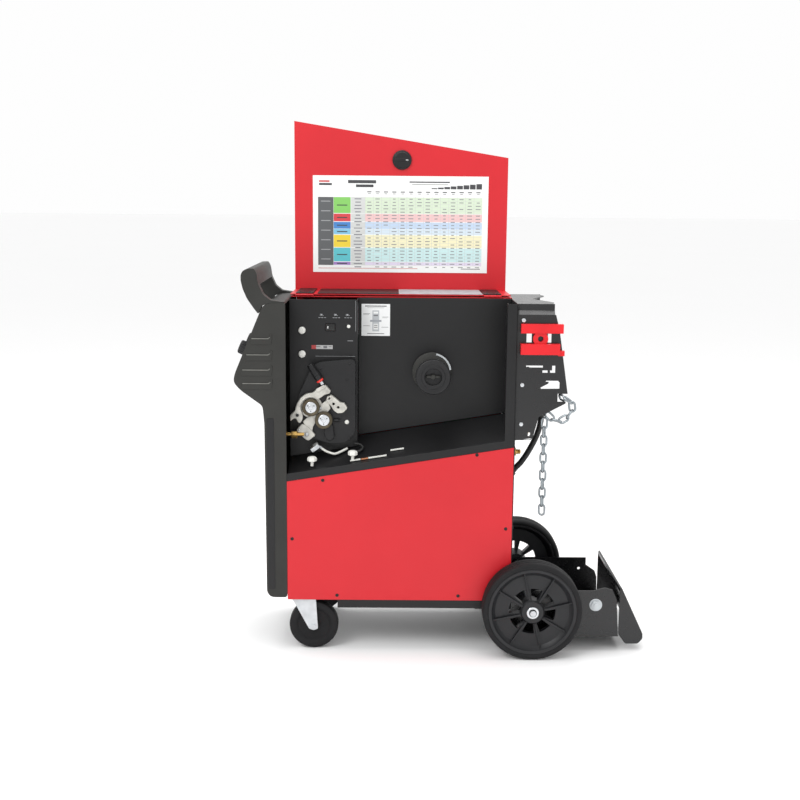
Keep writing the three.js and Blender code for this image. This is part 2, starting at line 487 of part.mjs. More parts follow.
// The door is built closed inside a group whose origin is the hinge line, then swung right over.
const door = new THREE.Group();
door.position.set(0, HINGE_Y, HINGE_Z);
door.rotation.x = -Math.PI;
root.add(door);
const leafOutline = [
  [-2, sillAt(0) + LEAF_CLEARANCE - HINGE_Z], [CABINET_LENGTH, sillAt(CABINET_LENGTH) + LEAF_CLEARANCE - HINGE_Z],
  [CABINET_LENGTH, ROOF_Z + FLAP_LIFT + SHEET - HINGE_Z], [-2, ROOF_Z + FLAP_LIFT + SHEET - HINGE_Z],
];
const leafInner = LEAF_Y - HINGE_Y;
const LATCH = [287, 557 - HINGE_Z];
const leaf = plate('xz', leafOutline, leafInner - SHEET, leafInner);
const flapUnder = ROOF_Z + FLAP_LIFT - HINGE_Z;
const flap = box(-2, CABINET_LENGTH, leafInner - SHEET, -6, flapUnder, flapUnder + SHEET);
const latchHole = bar([LATCH[0], leafInner - 5, LATCH[1]], [LATCH[0], leafInner + 5, LATCH[1]], 12);
const doorKnuckles = HINGES.flatMap(([x0, x1]) => {
  const [a, b] = [x0 + KNUCKLE_LENGTH + GAP, x1 - KNUCKLE_LENGTH - GAP];
  return [bar([a, 0, 0], [b, 0, 0], KNUCKLE_RADIUS, 10), box(a, b, -12, 0, flapUnder, 0)];
});
add('door_panel', cut(join(leaf, flap, ...doorKnuckles), latchHole), RED, door);
add('door_chart', box(47, 521, leafInner + GAP, leafInner + GAP + 0.6, 599 - HINGE_Z,
  858 - HINGE_Z), WHITE, door);
add('latch_knob', turned('y', [LATCH[0], 0, LATCH[1]], [[0, leafInner - SHEET - 14],
  [22, leafInner - SHEET - 14], [24, leafInner - SHEET - 10], [24, leafInner - SHEET - GAP],
  [11, leafInner - SHEET - GAP], [11, leafInner + GAP], [26, leafInner + GAP],
  [26, leafInner + 6], [22, leafInner + 9], [0, leafInner + 9]], 24), DARK, door);
// Flat foam seal under the flap, on top when the door is open.
add('flap_seal', box(68, 496, leafInner + 12, -28, flapUnder - 2.4, flapUnder - GAP), DARK, door);

// ---------- Rear axle and wheels ----------
const AXLE_END = WHEEL_Y + WHEEL_WIDTH / 2 + 8;
add('rear_axle', bar([AXLE_X, -AXLE_END, WHEEL_RADIUS], [AXLE_X, AXLE_END, WHEEL_RADIUS],
  AXLE_RADIUS, 16), ZINC);
const HUB_RADIUS = 31;
const RIM_RADIUS = 112;
const SPOKES = 8;
const FIRST_WINDOW = 0.62; // radians from the rear, on the near wheel and the far one
const WHEEL_SIDES = 36; // the same on the rim and the tyre, so that their flats line up
for (const [name, side] of [['near', -1], ['far', 1]]) {
  const y = side * WHEEL_Y;
  const half = WHEEL_WIDTH / 2;
  const centre = [AXLE_X, y, WHEEL_RADIUS];
  const tyre = [[RIM_RADIUS + GAP, -half + 6], [WHEEL_RADIUS - 6, -half], [WHEEL_RADIUS, -half + 9],
    [WHEEL_RADIUS, half - 9], [WHEEL_RADIUS - 6, half], [RIM_RADIUS + GAP, half - 6],
    [RIM_RADIUS + GAP, -half + 6]];
  add(`tyre_${name}`, turned('y', centre, tyre, WHEEL_SIDES), RUBBER);
  const bore = AXLE_RADIUS + GAP;
  const rim = [[bore, -half - 2], [HUB_RADIUS - 12, -half - 2], [HUB_RADIUS, -half + 6], [58, -14],
    [62, -10], [100, -16], [RIM_RADIUS, -half + 6], [RIM_RADIUS, half - 6], [100, 16], [62, 10],
    [58, 14], [HUB_RADIUS, half - 6], [HUB_RADIUS - 12, half + 2], [bore, half + 2],
    [bore, -half - 2]];
  const windows = [];
  for (let i = 0; i < SPOKES; i += 1) {
    const angle = FIRST_WINDOW + (2 * Math.PI * i) / SPOKES;
    const wedge = [[34, -6], [57, -13], [59, 0], [57, 13], [34, 6]].map(([r, t]) => [
      AXLE_X + r * Math.cos(angle) - t * Math.sin(angle),
      WHEEL_RADIUS + r * Math.sin(angle) + t * Math.cos(angle)]);
    windows.push(plate('xz', wedge, y - WHEEL_WIDTH, y + WHEEL_WIDTH));
  }
  add(`wheel_${name}`, cut(solid(turned('y', centre, rim, WHEEL_SIDES)), ...windows), BLACK_PLASTIC);
}

// ---------- Front casters ----------
const CASTER_PLATE_Z = PAN_RAISED_Z - CASTER_PLATE;
const CASTER_AXLE_X = CASTER_PIVOT_X + CASTER_TRAIL;
for (const [name, side] of [['near', -1], ['far', 1]]) {
  const y = side * (HALF_W - CASTER_INSET);
  const crownZ = 2 * CASTER_RADIUS + 4;
  const leg = [[CASTER_PIVOT_X - 28, crownZ + 4], [CASTER_PIVOT_X + 32, crownZ + 4],
    [CASTER_AXLE_X + 11, CASTER_RADIUS - 8], [CASTER_AXLE_X, CASTER_RADIUS - 12],
    [CASTER_AXLE_X - 12, CASTER_RADIUS - 8]];
  const legs = [-1, 1].map((s) => {
    const inner = y + s * (CASTER_WIDTH / 2 + 3);
    return plate('xz', leg, Math.min(inner, inner + s * 3), Math.max(inner, inner + s * 3), 3, 2);
  });
  const spread = CASTER_WIDTH / 2 + 6;
  const crown = box(CASTER_PIVOT_X - 28, CASTER_PIVOT_X + 32, y - spread, y + spread,
    crownZ, crownZ + 4);
  const headTop = CASTER_PLATE_Z - GAP;
  const head = turned('z', [CASTER_PIVOT_X, y, 0], [[0, crownZ + 1], [24, crownZ + 1],
    [24, headTop - 6], [18, headTop], [0, headTop]], 24);
  const axle = bar([CASTER_AXLE_X, y - spread - 4, CASTER_RADIUS],
    [CASTER_AXLE_X, y + spread + 4, CASTER_RADIUS], 5, 12);
  add(`caster_fork_${name}`, join(crown, ...legs, head, axle), ZINC);
  const h = CASTER_WIDTH / 2;
  add(`caster_wheel_${name}`, turned('y', [CASTER_AXLE_X, y, CASTER_RADIUS], [[5 + GAP, -h - 2],
    [15, -h - 2], [17, -h + 5], [44, -h + 5], [50, -h], [CASTER_RADIUS - 4, -h],
    [CASTER_RADIUS, -h + 5], [CASTER_RADIUS, h - 5], [CASTER_RADIUS - 4, h], [50, h],
    [44, h - 5], [17, h - 5], [15, h + 2], [5 + GAP, h + 2], [5 + GAP, -h - 2]], 24), RUBBER);
}

// ---------- Cylinder tray ----------
const TRAY_HALF = HALF_W - 7;
const TRAY_SHEET = 3;
const TRAY_FLOOR_Z = 40;
const TRAY_FRONT_X = BACK_X + GAP;
const TRAY_REAR_X = CABINET_LENGTH + 284;
// What stands behind the cabinet is placed by its distance from the cabinet's rear edge.
const behind = (points) => points.map(([x, ...rest]) => [CABINET_LENGTH + x, ...rest]);
const nearCheek = behind([[TRAY_FRONT_X - CABINET_LENGTH, TRAY_FLOOR_Z], [TRAY_REAR_X - CABINET_LENGTH, TRAY_FLOOR_Z], [277, 140],
  [265, 166], [245, 171], [225, 166], [217, 163], [67, 163], [TRAY_FRONT_X - CABINET_LENGTH, 112]]);
const farCheek = behind([[TRAY_FRONT_X - CABINET_LENGTH, TRAY_FLOOR_Z], [TRAY_REAR_X - CABINET_LENGTH, TRAY_FLOOR_Z], [282, 93],
  [276, 111], [250, 129], [250, 150], [67, 150], [TRAY_FRONT_X - CABINET_LENGTH, 112]]);
const foldedFoot = box(CABINET_LENGTH - 90, TRAY_FRONT_X + 20, -TRAY_HALF, TRAY_HALF,
  BASE_Z - GAP - TRAY_SHEET, BASE_Z - GAP);
const axleHole = bar([AXLE_X, -HALF_W, WHEEL_RADIUS], [AXLE_X, HALF_W, WHEEL_RADIUS],
  AXLE_RADIUS + GAP);
add('cylinder_tray', cut(join(
  box(TRAY_FRONT_X, TRAY_REAR_X, -TRAY_HALF, TRAY_HALF, TRAY_FLOOR_Z, TRAY_FLOOR_Z + TRAY_SHEET),
  plate('xz', nearCheek, -TRAY_HALF, -TRAY_HALF + TRAY_SHEET),
  plate('xz', farCheek, TRAY_HALF - TRAY_SHEET, TRAY_HALF),
  box(TRAY_FRONT_X, TRAY_FRONT_X + TRAY_SHEET, -TRAY_HALF, TRAY_HALF, TRAY_FLOOR_Z, BASE_Z - GAP),
  foldedFoot), axleHole, bar([CABINET_LENGTH + 230, TRAY_HALF - 5, 118],
    [CABINET_LENGTH + 230, HALF_W, 118], 4, 10)), BLACK_STEEL);

// Ramp behind the tray: a folded sheet with closed ends that the cylinder is tipped over.
const rampOuter = behind([[TRAY_REAR_X + GAP - CABINET_LENGTH, 46], [TRAY_REAR_X + GAP - CABINET_LENGTH, 168], [289, 172], [348, 47],
  [348, 33], [336, 20], [303, 20]]);
const rampInner = behind([[TRAY_REAR_X - 5 - CABINET_LENGTH, 52], [TRAY_REAR_X - 5 - CABINET_LENGTH, 161], [288, 161], [343, 46],
  [343, 36], [333, 10], [307, 10]]);
add('cylinder_ramp', cut(solid(plate('xz', rampOuter, -TRAY_HALF, TRAY_HALF, 4)),
  plate('xz', rampInner, -TRAY_HALF + TRAY_SHEET, TRAY_HALF - TRAY_SHEET)), BLACK_STEEL);

// ---------- Upper bracket for the gas cylinder ----------
const BRACKET_HALF = HALF_W - 8;
const BRACKET_SHEET = 3;
const BRACKET_X = BACK_X + GAP;
const BRACKET_TOP = ROOF_Z - 3;
const SHOULDER = 12; // folded shoulder between the top and the side plates
const sidePlate = behind([[BRACKET_X - CABINET_LENGTH, 876], [97, 876], [107, 838], [115, 790], [132, 678], [127, 653],
  [61, 618], [47, 564], [BRACKET_X - CABINET_LENGTH, 558]]);
const chainSlot = behind([[107, 658], [139, 658], [139, 678], [107, 678]]);
const longSlot = behind([[26, 744], [68, 744], [68, 749], [26, 749]]);
const hookSlot = behind([[67, 731], [99, 731], [99, 749], [91, 749], [91, 737], [67, 737]]);
const keySlot = behind([[54, 690], [72, 700], [77, 711], [107, 711], [111, 706], [111, 691]]);
const windowSlots = [[25, 38], [78, 87]].map(([a, b]) => behind([[a, 807], [b, 807], [b, 829],
  [a, 829]]));
const topPlate = behind([[BRACKET_X - CABINET_LENGTH, -BRACKET_HALF + SHOULDER], [91, -BRACKET_HALF + SHOULDER],
  [99, -100], [57, 0], [99, 100], [91, BRACKET_HALF - SHOULDER],
  [BRACKET_X - CABINET_LENGTH, BRACKET_HALF - SHOULDER]]);
const shoulder = (side) => {
  const a = BRACKET_HALF - SHOULDER;
  const t = BRACKET_SHEET;
  const section = [[a, BRACKET_TOP], [a, 886], [BRACKET_HALF, 874], [BRACKET_HALF, 868],
    [BRACKET_HALF - t, 868], [BRACKET_HALF - t, 873], [a - t, 885], [a - t, BRACKET_TOP]];
  return plate('yz', section.map(([y, z]) => [side * y, z]), BRACKET_X, CABINET_LENGTH + 95);
};
const plateCuts = [chainSlot, longSlot, hookSlot, keySlot, ...windowSlots].map((points) =>
  plate('xz', points, -HALF_W, HALF_W));
// The far side plate is lightened by two wider windows.
const farCuts = [[[60, 683], [124, 683], [122, 716], [60, 716]], [[56, 766], [84, 766], [84, 796],
  [56, 796]]].map((points) => plate('xz', behind(points), BRACKET_HALF - 5, HALF_W));
// The bracket's back strip carries a peg for the coiled power cord.
const COIL = { x: CABINET_LENGTH + 33, z: 626, radius: 80 };
const COIL_INNER = COIL.radius - 2 * CORD_RADIUS;
const COIL_OUTER = COIL.radius + 2 * CORD_RADIUS;
const COIL_TURNS_WIDE = 3.25; // strands side by side
const COIL_HALF = COIL_TURNS_WIDE * CORD_RADIUS;
const PEG_RADIUS = 8;
const PEG_Z = COIL.z + COIL_INNER - PEG_RADIUS - 1;
const peg = turned('x', [0, 0, PEG_Z], [[0, BRACKET_X + 1], [PEG_RADIUS, BRACKET_X + 1],
  [PEG_RADIUS, COIL.x + COIL_HALF + 4], [0, COIL.x + COIL_HALF + 4]], 16);
const backStrip = box(BRACKET_X, BRACKET_X + BRACKET_SHEET, -BRACKET_HALF, BRACKET_HALF, PEG_Z - 14,
  886);
add('cylinder_bracket', cut(join(
  plate('xz', sidePlate, -BRACKET_HALF, -BRACKET_HALF + BRACKET_SHEET),
  plate('xz', sidePlate, BRACKET_HALF - BRACKET_SHEET, BRACKET_HALF),
  plate('xy', topPlate, BRACKET_TOP - BRACKET_SHEET, BRACKET_TOP), shoulder(-1), shoulder(1),
  backStrip, peg), ...plateCuts, ...farCuts,
  bar([CABINET_LENGTH + 37, -HALF_W, 574], [CABINET_LENGTH + 37, HALF_W, 574], 5, 10)), BLACK_STEEL);

// Red cable hanger on the near side plate.
const HANGER_Y = -BRACKET_HALF - GAP;
const HOOK_X = CABINET_LENGTH + 10; // front ends of its bars
const RING_X = CABINET_LENGTH + 59;
const hanger = join(box(HOOK_X, HOOK_X + 105, HANGER_Y - 14, HANGER_Y, 831, 854),
  turned('y', [RING_X, 0, 817], [[7, HANGER_Y - 10], [19, HANGER_Y - 10], [19, HANGER_Y],
    [7, HANGER_Y], [7, HANGER_Y - 10]], 20),
  box(HOOK_X, HOOK_X + 97, HANGER_Y - 18, HANGER_Y, 778, 805),
  box(HOOK_X + 93, HOOK_X + 109, HANGER_Y - 14, HANGER_Y, 775, 788));
add('cable_hanger', cut(hanger, bar([RING_X, HANGER_Y - 20, 817], [RING_X, HANGER_Y + 1, 817], 7,
  16)), RED);

// Safety chain: hooked in the near slot, with its free end hanging.
const CHAIN_Y = -BRACKET_HALF + 12;
const CHAIN_RADIUS = 5;
add('chain_loop', tube(behind([[117, CHAIN_Y, 668], [119, -BRACKET_HALF - 4, 668],
  [133, -BRACKET_HALF - 9, 664], [144, -BRACKET_HALF - 8, 646], [135, -BRACKET_HALF - 7, 624],
  [115, -BRACKET_HALF - 3, 608], [97, -BRACKET_HALF + 5, 614], [85, CHAIN_Y - 2, 630]]),
CHAIN_RADIUS, 26), ZINC);
const CHAIN_HANG_X = CABINET_LENGTH + 77;
const CHAIN_TOP_Z = 612;
const CHAIN_END_Z = 361;
add('chain_tail', bar([CHAIN_HANG_X, CHAIN_Y, CHAIN_TOP_Z], [CHAIN_HANG_X, CHAIN_Y, CHAIN_END_Z], 8,
  8), ZINC);

// ---------- Power cord, gland and plug ----------
const GLAND_TILT = [Math.SQRT1_2, 0, Math.SQRT1_2];
const glandPoint = (d) => [BACK_X + 16 + GLAND_TILT[0] * d, CORD_Y, GLAND_Z + 4 + GLAND_TILT[2] * d];
add('cord_gland', join(bar([BACK_X + GAP, CORD_Y, GLAND_Z], [BACK_X + 18, CORD_Y, GLAND_Z], 15, 16),
  bar(glandPoint(-6), glandPoint(26), 13, 16, 9.5)), DARK);
const CORD_ROUTE = [
  glandPoint(26.5), glandPoint(36), [640, 89, 474], [663, 90, 519], [673, 90, 558],
  [674, 87, 596], [667, 79, 633], [655, 66, 664], [643, 50, 684],
];
add('power_cord', tube(CORD_ROUTE, CORD_RADIUS, 30, 8), RUBBER);
add('cord_coil', turned('x', [COIL.x, 0, COIL.z], [[COIL_INNER, -COIL_HALF], [COIL_OUTER, -COIL_HALF],
  [COIL_OUTER, COIL_HALF], [COIL_INNER, COIL_HALF], [COIL_INNER, -COIL_HALF]], 36), RUBBER);
// The last strand leaves the top of the coil and bends down to the plug beside it.
const PLUG_X = COIL.x + 8;
const PLUG_TOP = COIL.z + 2;
const TAIL_BEND = 5 * 2 * CORD_RADIUS;
const TAIL_CENTRE_Y = -38.4;
const PLUG_Y = TAIL_CENTRE_Y - TAIL_BEND;
const tailRoute = [118, 128, 139, 150, 160, 170, 180].map((degrees) => {
  const angle = THREE.MathUtils.degToRad(degrees);
  return [PLUG_X, TAIL_CENTRE_Y + TAIL_BEND * Math.cos(angle),
    PLUG_TOP + 8 + TAIL_BEND * Math.sin(angle)];
});
tailRoute.push([PLUG_X, PLUG_Y, PLUG_TOP + 4], [PLUG_X, PLUG_Y, PLUG_TOP + GAP]);
add('cord_tail', tube(tailRoute, CORD_RADIUS, 10, 8), RUBBER);
add('cord_plug', join(turned('z', [PLUG_X, PLUG_Y, 0], [[0, PLUG_TOP - 44], [19, PLUG_TOP - 44],
  [18, PLUG_TOP - 18], [10, PLUG_TOP], [0, PLUG_TOP]], 20),
...[-1, 1].map((side) => box(PLUG_X + side * 7 - 1, PLUG_X + side * 7 + 1, PLUG_Y - 4, PLUG_Y + 4,
  PLUG_TOP - 62, PLUG_TOP - 43))), DARK);
add('gas_inlet', turned('x', [0, GAS_Y, GAS_Z], [[0, REAR_X - 10], [7, REAR_X - 10],
  [7, BACK_X + GAP], [11, BACK_X + GAP], [11, BACK_X + 8], [8, BACK_X + 10], [8, BACK_X + 20],
  [0, BACK_X + 20]], 12), BRASS);

// ---------- Inside the cabinet ----------
add('transformer', join(box(180, 330, -70, 90, BASE_Z + SHEET + GAP, 290),
  box(205, 305, -95, 115, 150, 262)), COPPER);
add('circuit_board', box(60, 480, 60, 63, 560, 800), BOARD);
const FAN_AT = [FAN_X, 0, 240];
add('fan_motor', turned('x', FAN_AT, [[0, -30], [22, -30], [22, 0], [0, 0]], 16), DARK);
const blades = [];
for (let i = 0; i < 5; i += 1) {
  const blade = box(4, 8, -8, 8, 10, FAN_RADIUS - 6).rotateX((2 * Math.PI * i) / 5);
  blades.push(blade.translate(...FAN_AT));
}
add('fan_blades', join(turned('x', FAN_AT, [[0, GAP], [18, GAP], [18, 12], [0, 12]], 16),
  ...blades), DARK);

// ---------- Origin at the middle of the footprint ----------
root.updateMatrixWorld(true);
const extent = new THREE.Box3().setFromObject(root, true);
root.position.set(-(extent.min.x + extent.max.x) / 2, -(extent.min.y + extent.max.y) / 2,
  -extent.min.z);

export default root;
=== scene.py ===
# %% [markdown]
# # A wheeled wire-feed welder with its compartment open
# The real machine is a folded steel cabinet on two large wheels and two casters. Its roof door is
# thrown back, so the wire drive and the spool spindle are in plain sight. The CAD model is loaded
# first as a fixed frame: its flat sheet-metal nodes can be refined, and every new piece takes its
# place from it.

# %% Load the frame
import json
import math
import bpy
import bmesh
import numpy as np
from mathutils import Matrix, Vector
from mathutils.geometry import tessellate_polygon

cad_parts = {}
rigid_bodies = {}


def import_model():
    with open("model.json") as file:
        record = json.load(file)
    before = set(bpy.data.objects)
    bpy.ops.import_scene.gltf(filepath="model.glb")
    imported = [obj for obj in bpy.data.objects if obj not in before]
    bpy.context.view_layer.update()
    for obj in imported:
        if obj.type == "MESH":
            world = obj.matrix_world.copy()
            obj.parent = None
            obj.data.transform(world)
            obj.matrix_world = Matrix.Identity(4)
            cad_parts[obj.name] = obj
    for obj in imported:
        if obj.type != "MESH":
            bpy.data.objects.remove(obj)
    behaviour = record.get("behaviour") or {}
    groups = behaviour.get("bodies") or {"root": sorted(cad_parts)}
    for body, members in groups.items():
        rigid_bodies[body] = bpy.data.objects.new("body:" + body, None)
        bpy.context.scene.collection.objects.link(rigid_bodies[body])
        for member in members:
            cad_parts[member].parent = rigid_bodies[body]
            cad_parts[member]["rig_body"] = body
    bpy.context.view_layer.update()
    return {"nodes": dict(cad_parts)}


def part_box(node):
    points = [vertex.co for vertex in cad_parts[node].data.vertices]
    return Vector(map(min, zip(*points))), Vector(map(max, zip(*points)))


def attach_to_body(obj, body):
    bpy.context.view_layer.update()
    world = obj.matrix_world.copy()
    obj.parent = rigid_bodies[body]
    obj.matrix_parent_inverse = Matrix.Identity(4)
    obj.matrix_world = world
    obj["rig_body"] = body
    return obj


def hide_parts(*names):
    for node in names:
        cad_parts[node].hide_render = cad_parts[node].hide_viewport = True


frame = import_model()
NODES = frame["nodes"]
SCENE = bpy.context.scene

# %% [markdown]
# ## Cabinet millimetres
# A maker measures a cabinet from its front edge, so every number below is in millimetres from the
# front edge of the side panel, from the centre plane, and from the floor. One function turns such
# points into metres in the frame.

# %% Cabinet coordinates
FRONT_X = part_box("near_side_panel")[0].x


def node_box(name):
    """A CAD node's lowest and highest corners in cabinet millimetres."""
    low, high = [np.array(c) * 1000 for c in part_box(name)]
    low[0] -= FRONT_X * 1000
    high[0] -= FRONT_X * 1000
    return low, high


def place(points):
    """Millimetres from the cabinet's front edge to metres in the frame: p / 1000 + (front, 0, 0)."""
    out = np.asarray(points, float) / 1000.0
    out[..., 0] += FRONT_X
    return out


print("cabinet front edge at x =", round(FRONT_X, 4))

# %% [markdown]
# ## Camera
# The machine stands side on to the viewer, seen from a little above its middle. A long lens keeps
# the cabinet's edges almost parallel, and half a degree of roll lets the base line fall a little
# to the right.

# %% Camera
lens = bpy.data.cameras.new("camera")
FOCAL_PER_WIDTH = 1150.0 / 800.0
lens.sensor_width = 36.0
lens.lens = lens.sensor_width * FOCAL_PER_WIDTH
lens.clip_end = 300.0
camera = bpy.data.objects.new("camera", lens)
SCENE.collection.objects.link(camera)
camera.matrix_world = (Matrix.Translation(Vector(place([265.0, -3001.78,
                1153.48]))) @ Matrix.Rotation(math.radians(-0.4), 4,
        "Z") @ Matrix.Rotation(math.radians(80.13), 4, "X") @ Matrix.Rotation(math.radians(0.5), 4,
        "Z"))
SCENE.camera = camera
print("camera at", [round(v, 3) for v in camera.location])

# %% [markdown]
# ## Surfaces from arrays
# Each new shape is a function of two parameters on a grid, or a profile carried along a path. A
# handful of helpers covers them all: a grid's faces, a turned form, a plate with rounded rims and a
# tube along a path. Each gives an array of points and a list of faces, and one last helper turns
# any number of them into a single mesh.

# %% Grid faces
def grid_faces(rows, columns, wrap_rows=False, wrap_columns=False):
    """Quads of a rows x columns grid: face (i, j) joins points (i, j), (i + 1, j), (i + 1, j + 1)
    and (i, j + 1)."""
    i = np.arange(rows if wrap_rows else rows - 1)
    j = np.arange(columns if wrap_columns else columns - 1)
    i, j = [g.ravel() for g in np.meshgrid(i, j, indexing="ij")]
    i2, j2 = (i + 1) % rows, (j + 1) % columns
    return np.stack([i * columns + j, i2 * columns + j, i2 * columns + j2, i * columns + j2], 1)


def joined(*shapes):
    """Several shapes as one: the points are stacked and each shape's face numbers are shifted."""
    points, faces, count = [], [], 0
    for p, f in shapes:
        points.append(np.asarray(p, float))
        faces += [tuple(int(k) + count for k in face) for face in f]
        count += len(p)
    return np.concatenate(points), faces


print("a 3 x 3 grid has", len(grid_faces(3, 3)), "faces")

# %% Turned forms
def turned(axis, centre, profile, sides=48):
    """Point (k, a) = centre + r_k (cos a, sin a) in the plane across the axis + place_k along it."""
    r, along = np.asarray(profile, float).T
    angle = np.linspace(0, 2 * np.pi, sides, endpoint=False)
    c, s = r[:, None] * np.cos(angle), r[:, None] * np.sin(angle)
    a = np.broadcast_to(along[:, None], c.shape)
    xyz = {"x": (a, c, s), "y": (c, a, s), "z": (c, s, a)}[axis]
    points = np.stack(xyz, -1).reshape(-1, 3) + np.asarray(centre, float)
    return points, grid_faces(len(r), sides, False, True)


def rounded_profile(corners, radius, steps=4):
    """Each inner corner of a profile becomes a quadratic curve that starts and ends radius away."""
    p = np.asarray(corners, float)
    t = np.linspace(0, 1, steps + 1)[:, None]
    out = [p[:1]]
    for a, b, c in zip(p[:-2], p[1:-1], p[2:]):
        la, lc = np.linalg.norm(a - b), np.linalg.norm(c - b)
        if min(la, lc) < 1e-6:
            out.append(b[None])
            continue
        start, end = b + (a - b) * min(radius / la, .45), b + (c - b) * min(radius / lc, .45)
        out.append((1 - t) ** 2 * start + 2 * t * (1 - t) * b + t ** 2 * end)
    return np.concatenate(out + [p[-1:]])


print("a rounded square corner has", len(rounded_profile([(0, 0), (1, 0), (1, 1)], .2)), "points")

# %% Plates with rounded rims
AXES = {"xz": (0, 2, 1), "xy": (0, 1, 2), "yz": (1, 2, 0)}


def rounded_outline(corners, radius, steps=4):
    """A closed outline whose corners are rounded like those of a profile."""
    p = np.asarray(corners, float)
    loop = np.concatenate([p[-1:], p, p[:1]])
    return rounded_profile(loop, radius, steps)[1:-1]


def circle(a, b, radius, sides=24):
    """Outline points (a + r cos t, b + r sin t)."""
    t = np.linspace(0, 2 * np.pi, sides, endpoint=False)
    return np.stack([a + radius * np.cos(t), b + radius * np.sin(t)], 1)


def rectangle(a0, a1, b0, b1, radius=0.0):
    """A rectangle's outline, its corners rounded."""
    p = [(a0, b0), (a1, b0), (a1, b1), (a0, b1)]
    return rounded_outline(p, radius) if radius else np.asarray(p, float)


def inset(loop, distance):
    """Moves each point along the mean of its two edges' left normals, stretched to keep the edge."""
    d = np.roll(loop, -1, 0) - loop
    n = np.stack([-d[:, 1], d[:, 0]], 1) / np.maximum(np.linalg.norm(d, axis=1), 1e-9)[:, None]
    m = n + np.roll(n, 1, 0)
    m /= np.maximum((m * m).sum(1), .5)[:, None] / 2
    return loop + m * distance


def plate(plane, outline, low, high, edge=0.8, holes=(), steps=3):
    """Rings of the outline climb from low to high; near each face ring t is inset by
    edge (1 - sin t) and lifted by edge (1 - cos t), which rounds the rim. Flat caps close it."""
    edge = min(edge, (high - low) * .45)
    t = np.linspace(0, np.pi / 2, steps + 1)
    inward, lift = edge * (1 - np.sin(t)), edge * (1 - np.cos(t))
    steps_in = np.concatenate([inward, inward[::-1]])
    levels = np.concatenate([low + lift, high - lift[::-1]])
    shapes, caps = [], ([], [])
    for number, loop in enumerate([outline, *holes]):
        loop = np.asarray(loop, float)
        area = np.sum(loop[:, 0] * np.roll(loop[:, 1], -1) - loop[:, 1] * np.roll(loop[:, 0], -1))
        if (area > 0) != (number == 0):
            loop = loop[::-1]
        rings = np.stack([inset(loop, d) for d in steps_in])
        grid = np.concatenate([rings, np.broadcast_to(levels[:, None, None],
                    rings.shape[:2] + (1,))], 2)
        shapes.append((grid.reshape(-1, 3), grid_faces(len(levels), len(loop), False, True)))
        caps[0].append(grid[0])
        caps[1].append(grid[-1])
    for cap in caps:
        shapes.append((np.concatenate(cap),
                tessellate_polygon([[Vector(q) for q in c] for c in cap])))
    points, faces = joined(*shapes)
    out = np.empty_like(points)
    out[:, AXES[plane]] = points
    return out, faces


def block(x0, x1, y0, y1, z0, z1, corner=2.0, edge=0.8):
    """A rounded rectangle in plan, carried up from z0 to z1."""
    return plate("xy", rectangle(x0, x1, y0, y1, corner), z0, z1, edge)


print("a plate with one hole:",
    len(plate("xz", rectangle(0, 9, 0, 9), 0, 2, .5, [circle(4, 4, 2)])[1]), "faces")

# %% Tubes along a path
def smooth_path(points, count, closed=False):
    """A Catmull-Rom curve through the points, cut again at even steps of its own length."""
    p = np.asarray(points, float)
    q = np.concatenate([p[-1:], p, p[:2]]) if closed else np.concatenate([2 * p[:1] - p[1:2], p,
            2 * p[-1:] - p[-2:-1]])
    t = np.linspace(0, 1, 24, endpoint=False)[:, None, None]
    a, b, c, d = q[None, :-3], q[None, 1:-2], q[None, 2:-1], q[None, 3:]
    curve = .5 * (2 * b + (c - a) * t + (2 * a - 5 * b + 4 * c - d) * t ** 2
                  + (3 * b - a - 3 * c + d) * t ** 3)
    curve = np.concatenate([curve.transpose(1, 0, 2).reshape(-1, 3), p[:1] if closed else p[-1:]])
    run = np.concatenate([[0], np.cumsum(np.linalg.norm(np.diff(curve, axis=0), axis=1))])
    at = np.linspace(0, run[-1], count + closed)
    out = np.stack([np.interp(at, run, curve[:, k]) for k in range(3)], 1)
    return out[:-1] if closed else out


def sweep(path, profile, scale=None, closed=False, up=(0, 0, 1)):
    """Point (i, j) = path_i + side_i * profile_j.a + over_i * profile_j.b, where side is the
    path's direction crossed with up, and over is side crossed with the direction."""
    p = np.asarray(path, float)
    if closed:
        d = np.roll(p, -1, 0) - np.roll(p, 1, 0)
    else:
        d = np.gradient(p, axis=0)
    d /= np.linalg.norm(d, axis=1)[:, None]
    up = np.broadcast_to(np.asarray(up, float), d.shape)
    side = np.cross(d, up)
    side /= np.linalg.norm(side, axis=1)[:, None]
    over = np.cross(side, d)
    profile = np.asarray(profile, float)
    k = np.ones(len(p)) if scale is None else np.asarray(scale, float)
    grid = (p[:, None] + k[:, None, None] * (side[:, None] * profile[None, :, :1] + over[:,
                None] * profile[None, :, 1:]))
    points, faces = grid.reshape(-1, 3), list(grid_faces(len(p), len(profile), closed, True))
    if not closed:
        n = len(profile)
        points = np.concatenate([points, p[:1], p[-1:]])
        j, e = np.arange(n), (len(p) - 1) * n
        faces += list(np.stack([j, (j + 1) % n, np.full(n, len(points) - 2)], 1))
        faces += list(np.stack([e + j, e + (j + 1) % n, np.full(n, len(points) - 1)], 1))
    return points, faces


def tube(path, radius, sides=16, scale=None, closed=False, up=(0, 0, 1)):
    """A round profile swept along a path."""
    return sweep(path, circle(0, 0, radius, sides), scale, closed, up)


print("a tube of 10 steps has", len(tube(np.stack([np.arange(10.), np.zeros(10), np.zeros(10)], 1),
            1)[0]), "points")

# %% Meshes from shapes
def attach(name, mesh, body, replaces=()):
    """Puts a mesh in the scene as a piece that rides on a body, and hides the CAD nodes it stands for."""
    piece = bpy.data.objects.new(name, mesh)
    SCENE.collection.objects.link(piece)
    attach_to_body(piece, body)
    if replaces:
        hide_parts(*replaces)
    return piece


